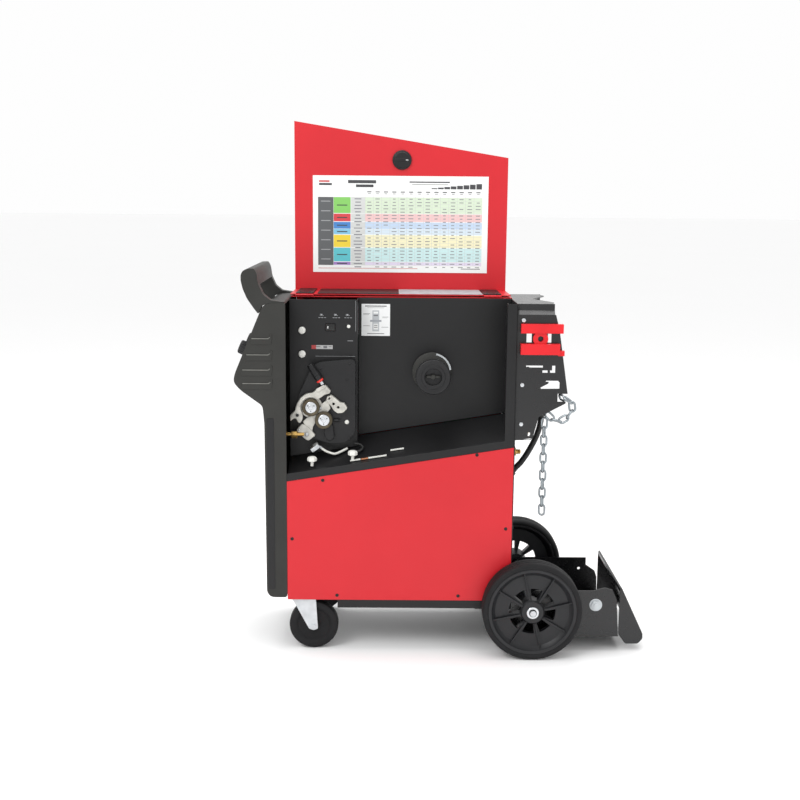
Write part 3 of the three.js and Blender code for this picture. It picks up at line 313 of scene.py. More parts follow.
def make_piece(name, shapes, material, body="cabinet", replaces=(), sharp=32.0):
    """Joins the shapes into one mesh, merges its doubles, turns its faces outwards and rides it."""
    points, faces = joined(*shapes)
    mesh = bpy.data.meshes.new(name)
    mesh.from_pydata(place(points).tolist(), [], faces)
    work = bmesh.new()
    work.from_mesh(mesh)
    bmesh.ops.remove_doubles(work, verts=work.verts, dist=2e-5)
    bmesh.ops.dissolve_degenerate(work, edges=work.edges, dist=1e-6)
    bmesh.ops.recalc_face_normals(work, faces=work.faces)
    work.to_mesh(mesh)
    work.free()
    mesh.shade_smooth()
    mesh.set_sharp_from_angle(angle=math.radians(sharp))
    mesh.materials.append(material)
    print(f"{name}: {len(mesh.polygons)} faces, rides on {body}")
    return attach(name, mesh, body, replaces)


# %% [markdown]
# ## Refining a CAD node
# The CAD sheet-metal nodes have the right shape, but a folded or moulded edge is never razor sharp.
# A copy is merged back into one skin, its flat areas are dissolved to whole faces, and a Bevel
# modifier rolls every real corner. The CAD node stays behind it for collision.

# %% Refined copies
def refined(node, material, width=1.0, segments=2, angle=30.0):
    """A copy of a node with merged points, dissolved flats and corners rolled to width mm."""
    source = NODES[node]
    mesh = source.data.copy()
    work = bmesh.new()
    work.from_mesh(mesh)
    bmesh.ops.remove_doubles(work, verts=work.verts, dist=1e-5)
    bmesh.ops.dissolve_limit(work, angle_limit=math.radians(1.5), verts=work.verts,
        edges=work.edges)
    work.to_mesh(mesh)
    work.free()
    mesh.materials.clear()
    mesh.materials.append(material)
    mesh.shade_smooth()
    mesh.set_sharp_from_angle(angle=math.radians(angle))
    piece = attach(node + "_finished", mesh, source["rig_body"], (node,))
    bevel = piece.modifiers.new("rolled_edges", "BEVEL")
    bevel.width = width / 1000.0
    bevel.segments = segments
    bevel.limit_method = "ANGLE"
    bevel.angle_limit = math.radians(angle)
    bevel.use_clamp_overlap = True
    bevel.harden_normals = True
    print(f"{piece.name}: {len(mesh.polygons)} faces, corners {width} mm")
    return piece


# %% [markdown]
# ## Finishes
# Every surface here is one of a few kinds: powder-coated steel, moulded plastic, rubber, zinc plate,
# cast alloy, brass. One builder makes them all from Object coordinates: a broad noise shifts the
# colour a little, a second noise varies the roughness, and a fine noise stands as grain in the
# normal. Numbers that are the same everywhere are set on the shader itself.

# %% Material builder
def finish(name, colour, rough, metallic=0.0, drift=0.06, broad=7.0, grain=900.0, bump=0.05,
    rough_drift=0.08, coat=0.0, coat_rough=0.15, stretch=(1, 1, 1), specular=0.5):
    """Colour = base mixed between (1 - drift) and (1 + drift) by a broad noise; roughness drifts by
    a middle noise; the normal carries a fine noise, stretched where the real surface is brushed."""
    material = bpy.data.materials.new(name)
    material.use_nodes = True
    tree = material.node_tree
    shader = tree.nodes["Principled BSDF"]
    where = tree.nodes.new("ShaderNodeTexCoord")
    mapping = tree.nodes.new("ShaderNodeMapping")
    mapping.inputs["Scale"].default_value = stretch
    tree.links.new(where.outputs["Object"], mapping.inputs["Vector"])

    def noise(scale, detail):
        node = tree.nodes.new("ShaderNodeTexNoise")
        node.inputs["Scale"].default_value = scale
        node.inputs["Detail"].default_value = detail
        tree.links.new(mapping.outputs["Vector"], node.inputs["Vector"])
        return node

    ramp = tree.nodes.new("ShaderNodeValToRGB")
    ramp.color_ramp.elements[0].position = 0.3
    ramp.color_ramp.elements[1].position = 0.7
    ramp.color_ramp.elements[0].color = (*[c * (1 - drift) for c in colour], 1)
    ramp.color_ramp.elements[1].color = (*[min(1, c * (1 + drift) + drift * .004) for c in colour],
        1)
    tree.links.new(noise(broad, 3).outputs["Fac"], ramp.inputs["Fac"])
    tree.links.new(ramp.outputs["Color"], shader.inputs["Base Color"])
    spread = tree.nodes.new("ShaderNodeMapRange")
    spread.inputs["To Min"].default_value = max(.03, rough - rough_drift)
    spread.inputs["To Max"].default_value = min(1, rough + rough_drift)
    tree.links.new(noise(broad * 9, 4).outputs["Fac"], spread.inputs["Value"])
    tree.links.new(spread.outputs["Result"], shader.inputs["Roughness"])
    skin = tree.nodes.new("ShaderNodeBump")
    skin.inputs["Strength"].default_value = bump
    skin.inputs["Distance"].default_value = 0.0006
    tree.links.new(noise(grain, 2).outputs["Fac"], skin.inputs["Height"])
    tree.links.new(skin.outputs["Normal"], shader.inputs["Normal"])
    shader.inputs["Metallic"].default_value = metallic
    shader.inputs["Coat Weight"].default_value = coat
    shader.inputs["Coat Roughness"].default_value = coat_rough
    shader.inputs["Specular IOR Level"].default_value = specular
    return material


# %% The finishes
RED = finish("red_powder_coat", (0.57, 0.012, 0.02), 0.42, drift=.05, broad=3, grain=1500,
    bump=.12, coat=.06, coat_rough=.3, specular=.36)
DEEP_RED = finish("red_folded_parts", (0.66, 0.01, 0.016), 0.34, drift=.06, broad=20, grain=1500,
    bump=.1, coat=.08, coat_rough=.2, specular=.32)
BLACK = finish("black_powder_coat", (0.006, 0.006, 0.0066), 0.4, drift=.2, broad=5, grain=1400,
    bump=.12, rough_drift=.06, specular=.36)
SATIN = finish("black_satin_steel", (0.006, 0.006, 0.0068), 0.26, drift=.2, broad=6, grain=1200,
    bump=.06, specular=.55)
MOULDED = finish("charcoal_moulded_plastic", (0.026, 0.026, 0.0235), 0.5, drift=.12, broad=9,
    grain=2200, bump=.3, specular=.3)
DARK = finish("dark_plastic", (0.008, 0.008, 0.009), 0.4, drift=.15, broad=14, grain=1800,
    bump=.15, specular=.36)
STRIP = finish("charcoal_control_strip", (0.016, 0.016, 0.018), 0.46, drift=.1, broad=8,
    grain=1600, bump=.12)
RUBBER = finish("tyre_rubber", (0.0065, 0.0065, 0.0074), 0.7, drift=.2, broad=30, grain=1300,
    bump=.35, specular=.3)
RIM = finish("rim_plastic", (0.0085, 0.0088, 0.0105), 0.42, drift=.15, broad=16, grain=1500,
    bump=.15, specular=.42)
CABLE = finish("cable_jacket", (0.006, 0.006, 0.006), 0.55, drift=.2, broad=40, grain=900, bump=.2)
ZINC = finish("bright_zinc", (0.62, 0.64, 0.66), 0.26, 1.0, drift=.1, broad=70, grain=1500,
    bump=.08)
CHAIN = finish("dull_zinc_chain", (0.3, 0.33, 0.35), 0.3, 1.0, drift=.25, broad=120, grain=1500,
    bump=.15)
STEEL = finish("turned_steel", (0.52, 0.54, 0.56), 0.3, 1.0, drift=.08, broad=60, grain=1800,
    bump=.08)
PLATED = finish("pale_zinc_casting", (0.55, 0.58, 0.6), 0.45, .35, drift=.12, broad=40, grain=900,
    bump=.15)
CAST = finish("bare_cast_alloy", (0.5, 0.49, 0.45), 0.45, .55, drift=.2, broad=55, grain=1100,
    bump=.4)
BRONZE = finish("dark_bronze_ring", (0.09, 0.075, 0.05), 0.4, .8, drift=.2, broad=50, grain=1200,
    bump=.15)
BRASS = finish("brass", (0.62, 0.4, 0.13), 0.3, 1.0, drift=.12, broad=70, grain=1400, bump=.08)
COPPER = finish("bare_copper", (0.7, 0.3, 0.16), 0.35, 1.0, drift=.12, broad=80, grain=1400,
    bump=.1)
WHITE = finish("white_nylon", (0.7, 0.7, 0.66), 0.45, drift=.05, broad=50, grain=900, bump=.1)
LABEL = finish("printed_label", (0.78, 0.79, 0.78), 0.4, drift=.02, broad=12, grain=1500, bump=.03)
INK = finish("label_ink", (0.03, 0.03, 0.035), 0.5, drift=.1, broad=50, grain=1500, bump=.03)
MARK = finish("grey_marking", (0.3, 0.31, 0.32), 0.5, drift=.05, broad=50, grain=1500, bump=.03)
SIGNAL = finish("signal_red", (0.72, 0.03, 0.02), 0.35, drift=.06, broad=50, grain=1400, bump=.08)
IRON = finish("core_iron", (0.05, 0.048, 0.045), 0.6, .7, drift=.25, broad=30, grain=700, bump=.3,
    stretch=(1, 1, 12))
BOARD = finish("circuit_board_green", (0.015, 0.11, 0.04), 0.4, drift=.15, broad=60, grain=700,
    bump=.15)
SMOKE = finish("display_window", (0.012, 0.006, 0.006), 0.08, drift=.1, broad=20, grain=900,
    bump=.01, rough_drift=.02)
# Pale grey for the painted reflection of the bright surround on the flap's glossy black top.
FLAP_REFLECTION = finish("painted_flap_reflection", (0.36, 0.35, 0.37), 0.7, drift=.2, broad=60, grain=600, bump=.6)
# Pale grey for the painted highlight along the top edge of each louvre.
LOUVRE_HIGHLIGHT = finish("painted_louvre_highlight", (0.16, 0.16, 0.145), 0.4, drift=.2, broad=40, grain=1500, bump=.1)
print(len(bpy.data.materials), "finishes")

# %% [markdown]
# ## Floor, backdrop and light
# A plain pale floor and a near-white surround match a studio. One broad lamp from the upper left
# shapes the cabinet, a second fills the right, and the surround lifts every shadow.

# %% Studio
floor_mesh = bpy.data.meshes.new("floor")
floor_mesh.from_pydata([(-80, -80, 0), (80, -80, 0), (80, 80, 0), (-80, 80, 0)], [], [(0, 1, 2, 3)])
floor = bpy.data.objects.new("floor", floor_mesh)
SCENE.collection.objects.link(floor)
floor_mesh.materials.append(finish("pale_floor", (0.965, 0.965, 0.965), 0.8, drift=.004, broad=.5,
        bump=.0, rough_drift=.02, specular=.2))
world = bpy.data.worlds.new("studio")
SCENE.world = world
world.use_nodes = True
world.node_tree.nodes["Background"].inputs["Color"].default_value = (1, 1, 1, 1)
world.node_tree.nodes["Background"].inputs["Strength"].default_value = 0.99


def softbox(name, where, aim, size, power):
    """An area lamp of the given size, turned so that it points from where to aim."""
    data = bpy.data.lights.new(name, "AREA")
    data.size, data.energy = size, power
    lamp = bpy.data.objects.new(name, data)
    SCENE.collection.objects.link(lamp)
    lamp.location = where
    lamp.rotation_euler = (Vector(aim) - Vector(where)).to_track_quat("-Z", "Y").to_euler()


softbox("key", (-2.0, -2.4, 3.2), (0, 0, .8), 1.8, 52)
softbox("fill", (2.6, -2.6, 1.8), (0, 0, .6), 2.2, 14)
softbox("top", (0, .5, 3.4), (0, 0, .8), 2.4, 60)
SCENE.view_settings.view_transform = "Standard"
print("three softboxes and a white surround")

# %% [markdown]
# ## The power cord
# A heavy three-core cord leaves the rear panel through an elbow gland, rises beside the bracket's
# side plate and is wound for storage behind the bracket's back strip. The coil is two layers side by
# side: the cord enters at the top, winds the inner layer across, and comes back over it in the outer
# layer, sixteen millimetres, its own diameter, from turn to turn. Its path is worked out first.

# %% Cord path
CORD = 16.0
GLAND = np.array([591.3, 88.0, 414.0])
COIL_Y, COIL_Z = 0.0, 626.0
ALONG = np.array([math.sqrt(.5), 0, math.sqrt(.5)])
RISE = np.array([GLAND + ALONG * 26.5, GLAND + ALONG * 38, (639, 89, 472), (661, 90, 516),
        (672, 90, 556), (673, 87, 596), (666, 80, 633)])
TAIL_Y, TAIL_Z, TAIL_X = -38.4, 636.0, 614.0


def eased(value, low, high):
    """0 below low, 1 above high, and t * t * (3 - 2 t) between."""
    t = np.clip((value - low) / (high - low), 0, 1)
    return t * t * (3 - 2 * t)


def coil_path():
    """The angle a runs on from 30 degrees. Point = (x, r cos a, r sin a) about the coil's centre:
    x eases in from the rise, drifts 17 mm a turn one way, then back; r steps out once, half way."""
    degrees = np.arange(30.0, 49 + 4.119 * 360, 13.0)
    turn = (degrees - 49) / 360
    x = (673 - 49 * eased(degrees, -30, 120) - 17 * np.clip(turn - .2, 0,
            1.8) + 17 * np.clip(turn - 2.3, 0, 2))
    radius = 71 + 5 * (1 - eased(degrees, 30, 120)) + 17 * eased(turn, 1.95, 2.35)
    a = np.radians(degrees)
    return np.stack([x, COIL_Y + radius * np.cos(a), COIL_Z + radius * np.sin(a)], 1)


coil = coil_path()
t = np.radians(np.array([97, 112, 127, 142, 157, 170, 180.0]))
tail = np.stack([TAIL_X + 6 * (1 - eased(np.arange(7.), 0, 4)), TAIL_Y + 80 * np.cos(t),
        TAIL_Z + 80 * np.sin(t)], 1)
tail = np.concatenate([tail, [(TAIL_X, TAIL_Y - 80, 629.0)]])
cord_path = smooth_path(np.concatenate([RISE, coil, tail]), 175)

# %% Cord, gland, tie and plug
cord = make_piece("power_lead", [tube(cord_path, CORD / 2, 14, up=(1, 0, 0))], CABLE,
    replaces=("power_cord", "cord_coil", "cord_tail"), sharp=60)


def along_gland(points):
    """Turns a form made along z to stand along the gland's 45 degree run: x leans into z."""
    p = np.asarray(points, float)
    c = math.sqrt(.5)
    return GLAND + np.stack([p[:, 0] * c + p[:, 2] * c, p[:, 1], -p[:, 0] * c + p[:, 2] * c], 1)


ribs = [(10.6 - .14 * k - (.9 if k % 4 in (2, 3) else 0), 6 + k) for k in range(0, 20)]
relief_points, relief_faces = turned("z", (0, 0, 0), [(0, 0), (12.5, 0), *ribs, (8.3, 26.2),
        (0, 26.2)], 32)
elbow = smooth_path([(579, 88, 410), (586, 88, 410), (591, 88, 411.6), (594.5, 88, 415.2),
        (597.5, 88, 419.5)], 14)
hexagon = circle(88, 410, 17, 6)
make_piece("cord_gland_elbow", [plate("yz", hexagon, 576, 583, 1.2),
        turned("x", (0, 88, 410), [(0, 583), (14.5, 583), (14.5, 585), (12, 587), (0, 587)]),
        tube(elbow, 12.3, 28, up=(0, 1, 0)), (along_gland(relief_points), relief_faces)], DARK,
    replaces=("cord_gland",))
tie_shapes = []
for a in (-100, -80):
    loop = rounded_outline([(582.0, 60.5), (636.5, 60.5), (636.5, 98.0), (582.0, 98.0)], 9)
    c, s = math.cos(math.radians(a)), math.sin(math.radians(a))
    path = np.stack([loop[:, 0], COIL_Y + loop[:, 1] * c, COIL_Z + loop[:, 1] * s], 1)
    tie_shapes.append(sweep(path, rectangle(-.8, .8, -4, 4, .5), closed=True, up=(0, -s, c)))
tie = make_piece("cord_tie", tie_shapes, DARK)
PLUG = np.array([614.0, -118.4])
body = [(0, 584), (17.5, 584), (18.6, 586), (18.8, 594), (17.6, 603), (17.9, 605), (17.2, 607),
    (17.5, 609), (16.6, 611), (16.4, 613), (14.2, 618), (11.5, 622), (10.2, 626), (9.6, 628.6),
    (0, 628.6)]
plug = make_piece("cord_plug_body", [turned("z", (*PLUG, 0), body, 40)], DARK,
    replaces=("cord_plug",))
prongs = make_piece("cord_plug_prongs",
    [plate("xy", rectangle(PLUG[0] + k - 1, PLUG[0] + k + 1, PLUG[1] - 4, PLUG[1] + 4, .4), 566.5,
            585, .5) for k in (-7, 7)] + [turned("z", (PLUG[0], PLUG[1] + 9, 0),
            [(0, 567), (1.6, 567), (2.4, 568.5), (2.4, 585), (0, 585)], 20)], BRASS)
tuple(place(cord_path[0]))
place(cord_path).tolist()

# %% [markdown]
# ## Cabinet panels
# Folded 2 mm steel: two red side panels, a black rear panel, a base pan, a roof half, posts and
# sills. Their CAD solids are already right, so each one becomes a refined copy with rolled edges.

# %% Sheet metal
refined("near_side_panel", RED, 1.2)
refined("far_side_panel", RED, 1.2)
refined("door_panel", RED, 1.4)
refined("roof_panel", RED, 1.0)
for node in ("rear_panel", "base_pan", "side_frame", "centre_panel", "drive_panel",
    "compartment_floor"):
    refined(node, BLACK, 1.0)

# %% [markdown]
# ## Screws
# Thread-forming screws with low round heads hold the side panels, the tray and the strip. A head is
# one turned profile: a flat seat, a domed rim and a recess.

# %% Screw heads
def screw(axis, centre, radius=4.6, height=2.0, outward=-1):
    """A dome r(t) = radius cos t, place = height sin t, with a shallow round recess in its top."""
    t = np.linspace(0, 1.15, 6)
    profile = [(0, 0), (radius, 0)] + [(radius * math.cos(k), outward * height * math.sin(k) / .92)
        for k in t]
    last = profile[-1][1]
    profile += [(radius * .38, last), (radius * .3, last - outward * .8), (0, last - outward * .8)]
    return turned(axis, centre, profile, 20)


side_screws = [(91, 453), (480, 521.5), (12.5, 299), (557, 329), (127, 143.4 + 6),
    (438.5, 143.4 + 6)]
make_piece("near_panel_screws", [screw("y", (u, -170.0, z), 4.4) for u, z in side_screws], DARK)
far_screws = [(20, 150), (20, 520), (20, 885), (286, 150), (286, 885), (553, 150), (553, 520),
    (553, 885)]
make_piece("far_panel_screws", [screw("y", (u, 170.0, z), 4.4, outward=1) for u, z in far_screws],
    DARK)
rear_screws = [(573.4 + 2, y, z) for y in (-158, 158) for z in (150, 330, 540)]
make_piece("rear_panel_screws", [screw("x", p, 4.4, outward=1) for p in rear_screws], DARK)

# %% [markdown]
# ## Front moulding and handle
# The whole front is one charcoal moulding: a tall column that swells into a sloping control head.
# Its flanks carry four stepped louvres. The handle is a thick moulded loop whose arms grow out of
# the head and whose bar curls over the top. Both start as refined copies with generous corners, and
# the louvres are separate thin steps that follow the head's slope.

# %% Moulding
refined("front_bezel", MOULDED, 5.0, 4, 32)
refined("handle", MOULDED, 6.0, 4, 32)


def louvre(top, front, sign):
    """A wedge 17 mm tall that stands 1.6 mm out at its top edge and runs to nothing below; its rear
    end turns upward: outline in x and z, lifted as a plate with rounded rims."""
    rear = -40.0
    outline = [(front, top - 15), (front + 3, top), (rear, top), (rear + 3, top + 11),
        (rear + 7, top + 11), (rear + 6, top - 3), (rear + 4, top - 15)]
    low, high = (170.0, 171.5) if sign > 0 else (-171.5, -170.0)
    return plate("xz", rounded_outline(outline, 3, 3), low, high, .7)


steps = [(812.5, -88), (772, -101), (734, -112), (700, -112)]
# A pale strip along each louvre's top edge is a painted highlight, drawn as its own thin plate.
for sign, side in ((-1, "near"), (1, "far")):
    low, high = (171.2, 171.9) if sign > 0 else (-171.9, -171.2)
    make_piece(f"louvre_painted_highlights_{side}",
        [plate("xz", rounded_outline([(x + 4, z - 1.2), (-43, z - 1.2), (-38, z + 3), (-39, z + 4),
                    (-44, z + .8), (x + 4, z + .8)], .4), low, high, .2) for z, x in steps], LOUVRE_HIGHLIGHT)
    make_piece(f"louvre_steps_{side}", [louvre(z, x, sign) for z, x in steps], MOULDED)
# A flat dark plate on each flank of the column is painted shade for the darker vertical slot; no slot
# is cut.
for sign, side in ((-1, "near"), (1, "far")):
    low, high = (170.0, 170.8) if sign > 0 else (-170.8, -170.0)
    make_piece(f"column_slot_painted_shade_{side}", [plate("xz", rectangle(-49, -31, 165, 612, 4), low, high,
                .4)], DARK)

# %% [markdown]
# ## Control face
# The slope carries a recessed panel with two big knobs, a switch, a display and a row of lamps. It is
# worked out in the panel's own directions, s up the slope and y across, and placed by one function.

# %% Control face
FACE = np.array([-91.0, 0.0, 811.5])
slope = np.array([-57.0 + 125.0, 0, 893.0 - 730.0])
UP_SLOPE = slope / np.linalg.norm(slope)
OUT = np.array([-UP_SLOPE[2], 0, UP_SLOPE[0]])


def on_face(shape):
    """Turns a form drawn flat, x across, y up the slope and z outwards, onto the control face."""
    p, faces = shape
    p = np.asarray(p, float)
    return FACE + p[:, :1] * np.array([0, -1.0, 0]) + p[:, 1:2] * UP_SLOPE + p[:, 2:] * OUT, faces


panel_low, panel_high = node_box("control_panel")
middle = (panel_low + panel_high) / 2
print("control panel middle", middle.round(1), "size", (panel_high - panel_low).round(1))
refined("control_panel", STRIP, .6)
surface = 1.0 + float((middle - FACE) @ OUT)
lines = [plate("xy", rectangle(a, b, c, d, .4), surface - .8, surface + .25, .1)
    for a, b, c, d in ((-112, 112, 17.0, 17.8), (-112, 112, -66, -65.2), (-112, -111.2, -66, 60),
        (111.2, 112, -66, 60), (-112, 112, 59.2, 60))]
make_piece("face_border", [on_face(s) for s in lines], MARK)
make_piece("display",
    [on_face(plate("xy", rectangle(-52, 52, 28, 52, 3), surface - .8, surface + 1.0, .5))], SMOKE)
digits = []
for k, x in enumerate((-38, -24, -10, 14, 28, 42)):
    for a, b, c, d in ((-4, 4, 8.2, 9.6), (-4, 4, -.7, .7), (-4, 4, -9.6, -8.2),
        (-4.6, -3.2, .9, 8), (3.2, 4.6, .9, 8), (-4.6, -3.2, -8, -.9), (3.2, 4.6, -8, -.9)):
        digits.append(on_face(plate("xy", rectangle(x + a, x + b, 40 + c, 40 + d, .4),
                    surface + .9, surface + 1.15, .05)))
make_piece("display_segments", digits, finish("unlit_segments", (0.05, 0.008, 0.006), .3, drift=.1,
        bump=.02))
ticks = []
for y in (-82, 82):
    for k in range(11):
        a = math.radians(225 - 27 * k)
        c, s = math.cos(a), math.sin(a)
        d = np.array([c, s])
        n = np.array([-s, c])
        r0, r1 = 26, 31 if k % 5 == 0 else 29.5
        base = np.array([y, -25.0])
        corners = [base + d * r0 - n * .5, base + d * r1 - n * .5, base + d * r1 + n * .5,
            base + d * r0 + n * .5]
        ticks.append(on_face(plate("xy", corners, surface - .8, surface + .25, .1)))
make_piece("knob_scales", ticks, LABEL)
lamps = [on_face(turned("z", (x, 6, 0), [(0, surface - .8), (3.4, surface - .8),
                (3.4, surface + .6), (2.2, surface + 1.6), (0, surface + 1.8)], 20))
    for x in (-30, -10, 10, 30)]
make_piece("indicator_lamps", lamps, SIGNAL)

# %% [markdown]
# ## Door chart
# Inside the lid a printed sheet lists settings in rows and columns. It is one thin plate whose front
# is cut into cells by every line of the print, and each cell carries its own colour in an attribute,
# so the print needs no picture. Words are drawn as plain bars: nothing on it can be read.

# %% Painted rectangles on one grid
CHART_LOW, CHART_HIGH = node_box("door_chart")
print("chart", CHART_LOW.round(1), CHART_HIGH.round(1))


def painted_sheet(name, boxes, base, low, high, front, back, material, body,
    replaces=(), plane="xz"):
    """boxes are (a0, a1, b0, b1, colour) in fractions from the left and the top. Every edge becomes
    a grid line; a cell takes the colour of the last box that covers its middle."""
    a = np.unique(np.clip(np.concatenate([[0, 1]] + [[r[0], r[1]] for r in boxes]), 0, 1).round(5))
    b = np.unique(np.clip(np.concatenate([[0, 1]] + [[r[2], r[3]] for r in boxes]), 0, 1).round(5))
    am, bm_ = (a[1:] + a[:-1]) / 2, (b[1:] + b[:-1]) / 2
    tone = np.empty((len(am), len(bm_), 4))
    tone[:] = (*base, 1)
    for a0, a1, b0, b1, colour in boxes:
        hit = ((am > a0) & (am < a1))[:, None] & ((bm_ > b0) & (bm_ < b1))[None]
        tone[hit] = (*colour, 1)
    u, v = np.meshgrid(low[0] + a * (high[0] - low[0]), high[1] - b * (high[1] - low[1]),
        indexing="ij")
    face = np.stack([u, np.full_like(u, front), v], -1).reshape(-1, 3)
    faces = grid_faces(len(a), len(b))
    corners = [face[0], face[(len(a) - 1) * len(b)], face[-1], face[len(b) - 1]]
    rim = np.array([[p[0], back, p[2]] for p in corners])
    n, m = len(face), len(b)
    sides = [list(range(0, m)) + [n + 3, n],
        list(range((len(a) - 1) * m, len(a) * m))[::-1] + [n + 1, n + 2],
        list(range(0, len(a) * m, m))[::-1] + [n, n + 1],
        list(range(m - 1, len(a) * m, m)) + [n + 2, n + 3], [n, n + 3, n + 2, n + 1]]
    mesh = bpy.data.meshes.new(name)
    mesh.from_pydata(place(np.concatenate([face, rim])).tolist(), [], faces.tolist() + sides)
    work = bmesh.new()
    work.from_mesh(mesh)
    bmesh.ops.recalc_face_normals(work, faces=work.faces)
    work.to_mesh(mesh)
    work.free()
    colours = np.concatenate([np.repeat(tone.reshape(-1, 4), 4, 0),
            np.tile((*base, 1), (sum(len(s) for s in sides), 1))])
    layer = mesh.color_attributes.new("print", "FLOAT_COLOR", "CORNER")
    layer.data.foreach_set("color", colours.astype(np.float32).ravel())
    mesh.materials.append(material)
    attach(name, mesh, body, replaces)
    print(f"{name}: {len(faces)} printed cells")


def printed(name, rough=.38):
    """A paper or film finish: its colour is the piece's own print attribute times a faint mottle."""
    material = finish(name, (.8, .8, .8), rough, drift=.02, bump=.03)
    tree = material.node_tree
    shader = tree.nodes["Principled BSDF"]
    ink = tree.nodes.new("ShaderNodeAttribute")
    ink.attribute_name = "print"
    old = shader.inputs["Base Color"].links[0].from_socket
    mix = tree.nodes.new("ShaderNodeMix")
    mix.data_type = "RGBA"
    mix.blend_type = "MULTIPLY"
    mix.inputs["Factor"].default_value = .12
    tree.links.new(ink.outputs["Color"], mix.inputs["A"])
    tree.links.new(old, mix.inputs["B"])
    tree.links.new(mix.outputs["Result"], shader.inputs["Base Color"])
    return material


PRINT = printed("printed_film")

# %% The chart's layout
rng = np.random.default_rng(7)
GREY, INKY, PALE = (.1, .105, .11), (.05, .05, .055), (.6, .61, .6)
bands = [(.221, .389, (.22, .55, .12)), (.392, .474, (.62, .05, .06)),
    (.477, .55, (.06, .22, .55)), (.55, .608, (.2, .5, .7)), (.611, .742, (.8, .6, .04)),
    (.745, .89, (.1, .5, .56)), (.893, .927, (.35, .2, .5))]
tint = {0: (.62, .72, .56), 1: (.78, .5, .5), 2: (.5, .62, .78), 3: (.62, .72, .8),
    4: (.82, .78, .52), 5: (.55, .76, .76), 6: (.7, .64, .78)}
sheet = [(.029, .117, .221, .927, GREY), (.035, .095, .05, .068, (.55, .08, .08)),
    (.035, .108, .078, .1, INKY), (.2, .36, .045, .078, INKY), (.245, .345, .09, .118, INKY),
    (.55, .78, .055, .068, INKY), (.565, .77, .082, .09, (.3, .3, .3)),
    (.03, .6, .955, .962, (.6, .25, .25)), (.85, .96, .955, .962, INKY)]
for k in range(7):
    sheet.append((.046, .1, .26 + .1 * k, .268 + .1 * k, (.35, .36, .37)))
columns = np.concatenate([[.298, .345, .392], np.linspace(.392, .967, 13)[1:]])
rows = np.arange(.221, .927, .0336)
for number, (b0, b1, colour) in enumerate(bands):
    sheet += [(.118, .215, b0, b1 - .003, colour), (.217, .297, b0, b1 - .003, PALE),
        (.298, .967, b0, b1 - .003, tint[number])]
    middle_b = (b0 + b1) / 2
    sheet.append((.137, .196, middle_b - .007, middle_b + .004, (.04, .05, .05)))
for r in rows:
    sheet.append((.217, .967, r - .0012, r + .0012, (.55, .56, .55)))
    for c0, c1 in zip(columns[:-1], columns[1:]):
        w = (c1 - c0) * rng.uniform(.3, .62)
        m = (c0 + c1) / 2
        if rng.random() < .86:
            sheet.append((m - w / 2, m + w / 2, r + .012, r + .021, (.24, .25, .25)))
    m, w = .257, rng.uniform(.02, .05)
    sheet.append((m - w / 2, m + w / 2, r + .012, r + .022, (.2, .2, .22)))
for c0, c1 in zip(columns[:-1], columns[1:]):
    m, w = (c0 + c1) / 2, (c1 - c0) * .5
    sheet += [(m - w / 2, m + w / 2, .16, .17, INKY), (m - w / 3, m + w / 3, .18, .188,
            (.3, .3, .3)), (c0 - .0007, c0 + .0007, .145, .927, (.5, .51, .5))]
wedge = np.linspace(.676, .967, 9)
for k in range(8):
    sheet.append((wedge[k], wedge[k + 1] - .004, .128 - .0065 * (k + 1), .132, INKY))
painted_sheet("door_chart_print", sheet, (.84, .85, .84), (CHART_LOW[0], CHART_LOW[2]),
    (CHART_HIGH[0], CHART_HIGH[2]), CHART_LOW[1], CHART_HIGH[1], PRINT, "door",
    ("door_chart",))

# %% [markdown]
# ## Latch, hinges and seal strip
# A quarter-turn latch has a ribbed round knob with a lug across it. The lid turns on two hinges with
# rolled knuckles, and a dark seal strip lies along the flap. Beside it a pale grey strip is a painted
# reflection of the bright surround on the glossy black top.

# %% Latch
latch_low, latch_high = node_box("latch_knob")
print("latch", latch_low.round(1), latch_high.round(1))
U, Z = 287.0, 1259.0
front, seat = latch_low[1], 154.0
grip = [(0, seat), (26, seat), (26, seat - 4), (24.5, seat - 5.5), (22, seat - 6),
    (21.5, front + 2.2), (19.8, front + .6), (0, front + .6)]
teeth = []
for a in np.arange(0, 360, 22.5):
    c, s = math.cos(math.radians(a)), math.sin(math.radians(a))
    teeth.append(turned("y", (U + 21.2 * c, 0, Z + 21.2 * s), [(0, seat - 5), (1.8, seat - 5),
                (1.8, front + 2), (0, front + 1.4)], 8))
bar_outline = rounded_outline([(U - 19, Z - 4.5), (U + 19, Z - 4.5), (U + 19, Z + 4.5),
        (U - 19, Z + 4.5)], 4)
make_piece("latch_knob_grip", [turned("y", (U, 0, Z), rounded_profile(grip, 1.2), 48), *teeth,
        plate("xz", bar_outline, front, front + 4, 1.2)], DARK, "latch", ("latch_knob",))
make_piece("latch_pointer", [plate("xz", rectangle(U + 10, U + 17, Z - .8, Z + .8, .4),
            front - .15, front + 1, .1)], LABEL, "latch")

# %% Seal strip and hinge leaves
FLAP_Z = 910.7
segments = [(12, 58, DARK, 3.2, "front_hinge_cover"), (502, 548, DARK, 3.2, "rear_hinge_cover")]
for u0, u1, material, height, name in segments:
    make_piece(name, [plate("xy", rectangle(u0, u1, 1, 151, 2), FLAP_Z, FLAP_Z + height, .8),
            screw("z", (u0 + 10, 20, FLAP_Z + height - .3), 3.4, outward=1),
            screw("z", (u1 - 10, 20, FLAP_Z + height - .3), 3.4, outward=1)], material, "door")
make_piece("seal_strip_dark", [plate("xy", rectangle(68, 280, 1, 151, 2), 910.9, 913.0, .8)],
    BLACK, "door", ("flap_seal",))
# This pale strip is a painted reflection of the bright surround, not a seal.
make_piece("flap_reflection_strip", [plate("xy", rectangle(280.5, 500, 1, 151, 2), 910.9, 912.6, .8)],
    FLAP_REFLECTION, "door")

# %% [markdown]
# ## The control strip above the wire drive
# The drive panel's upper part carries a rocker switch, small grey pictograms, a round button and a
# narrow label. The pictograms are plain bars.

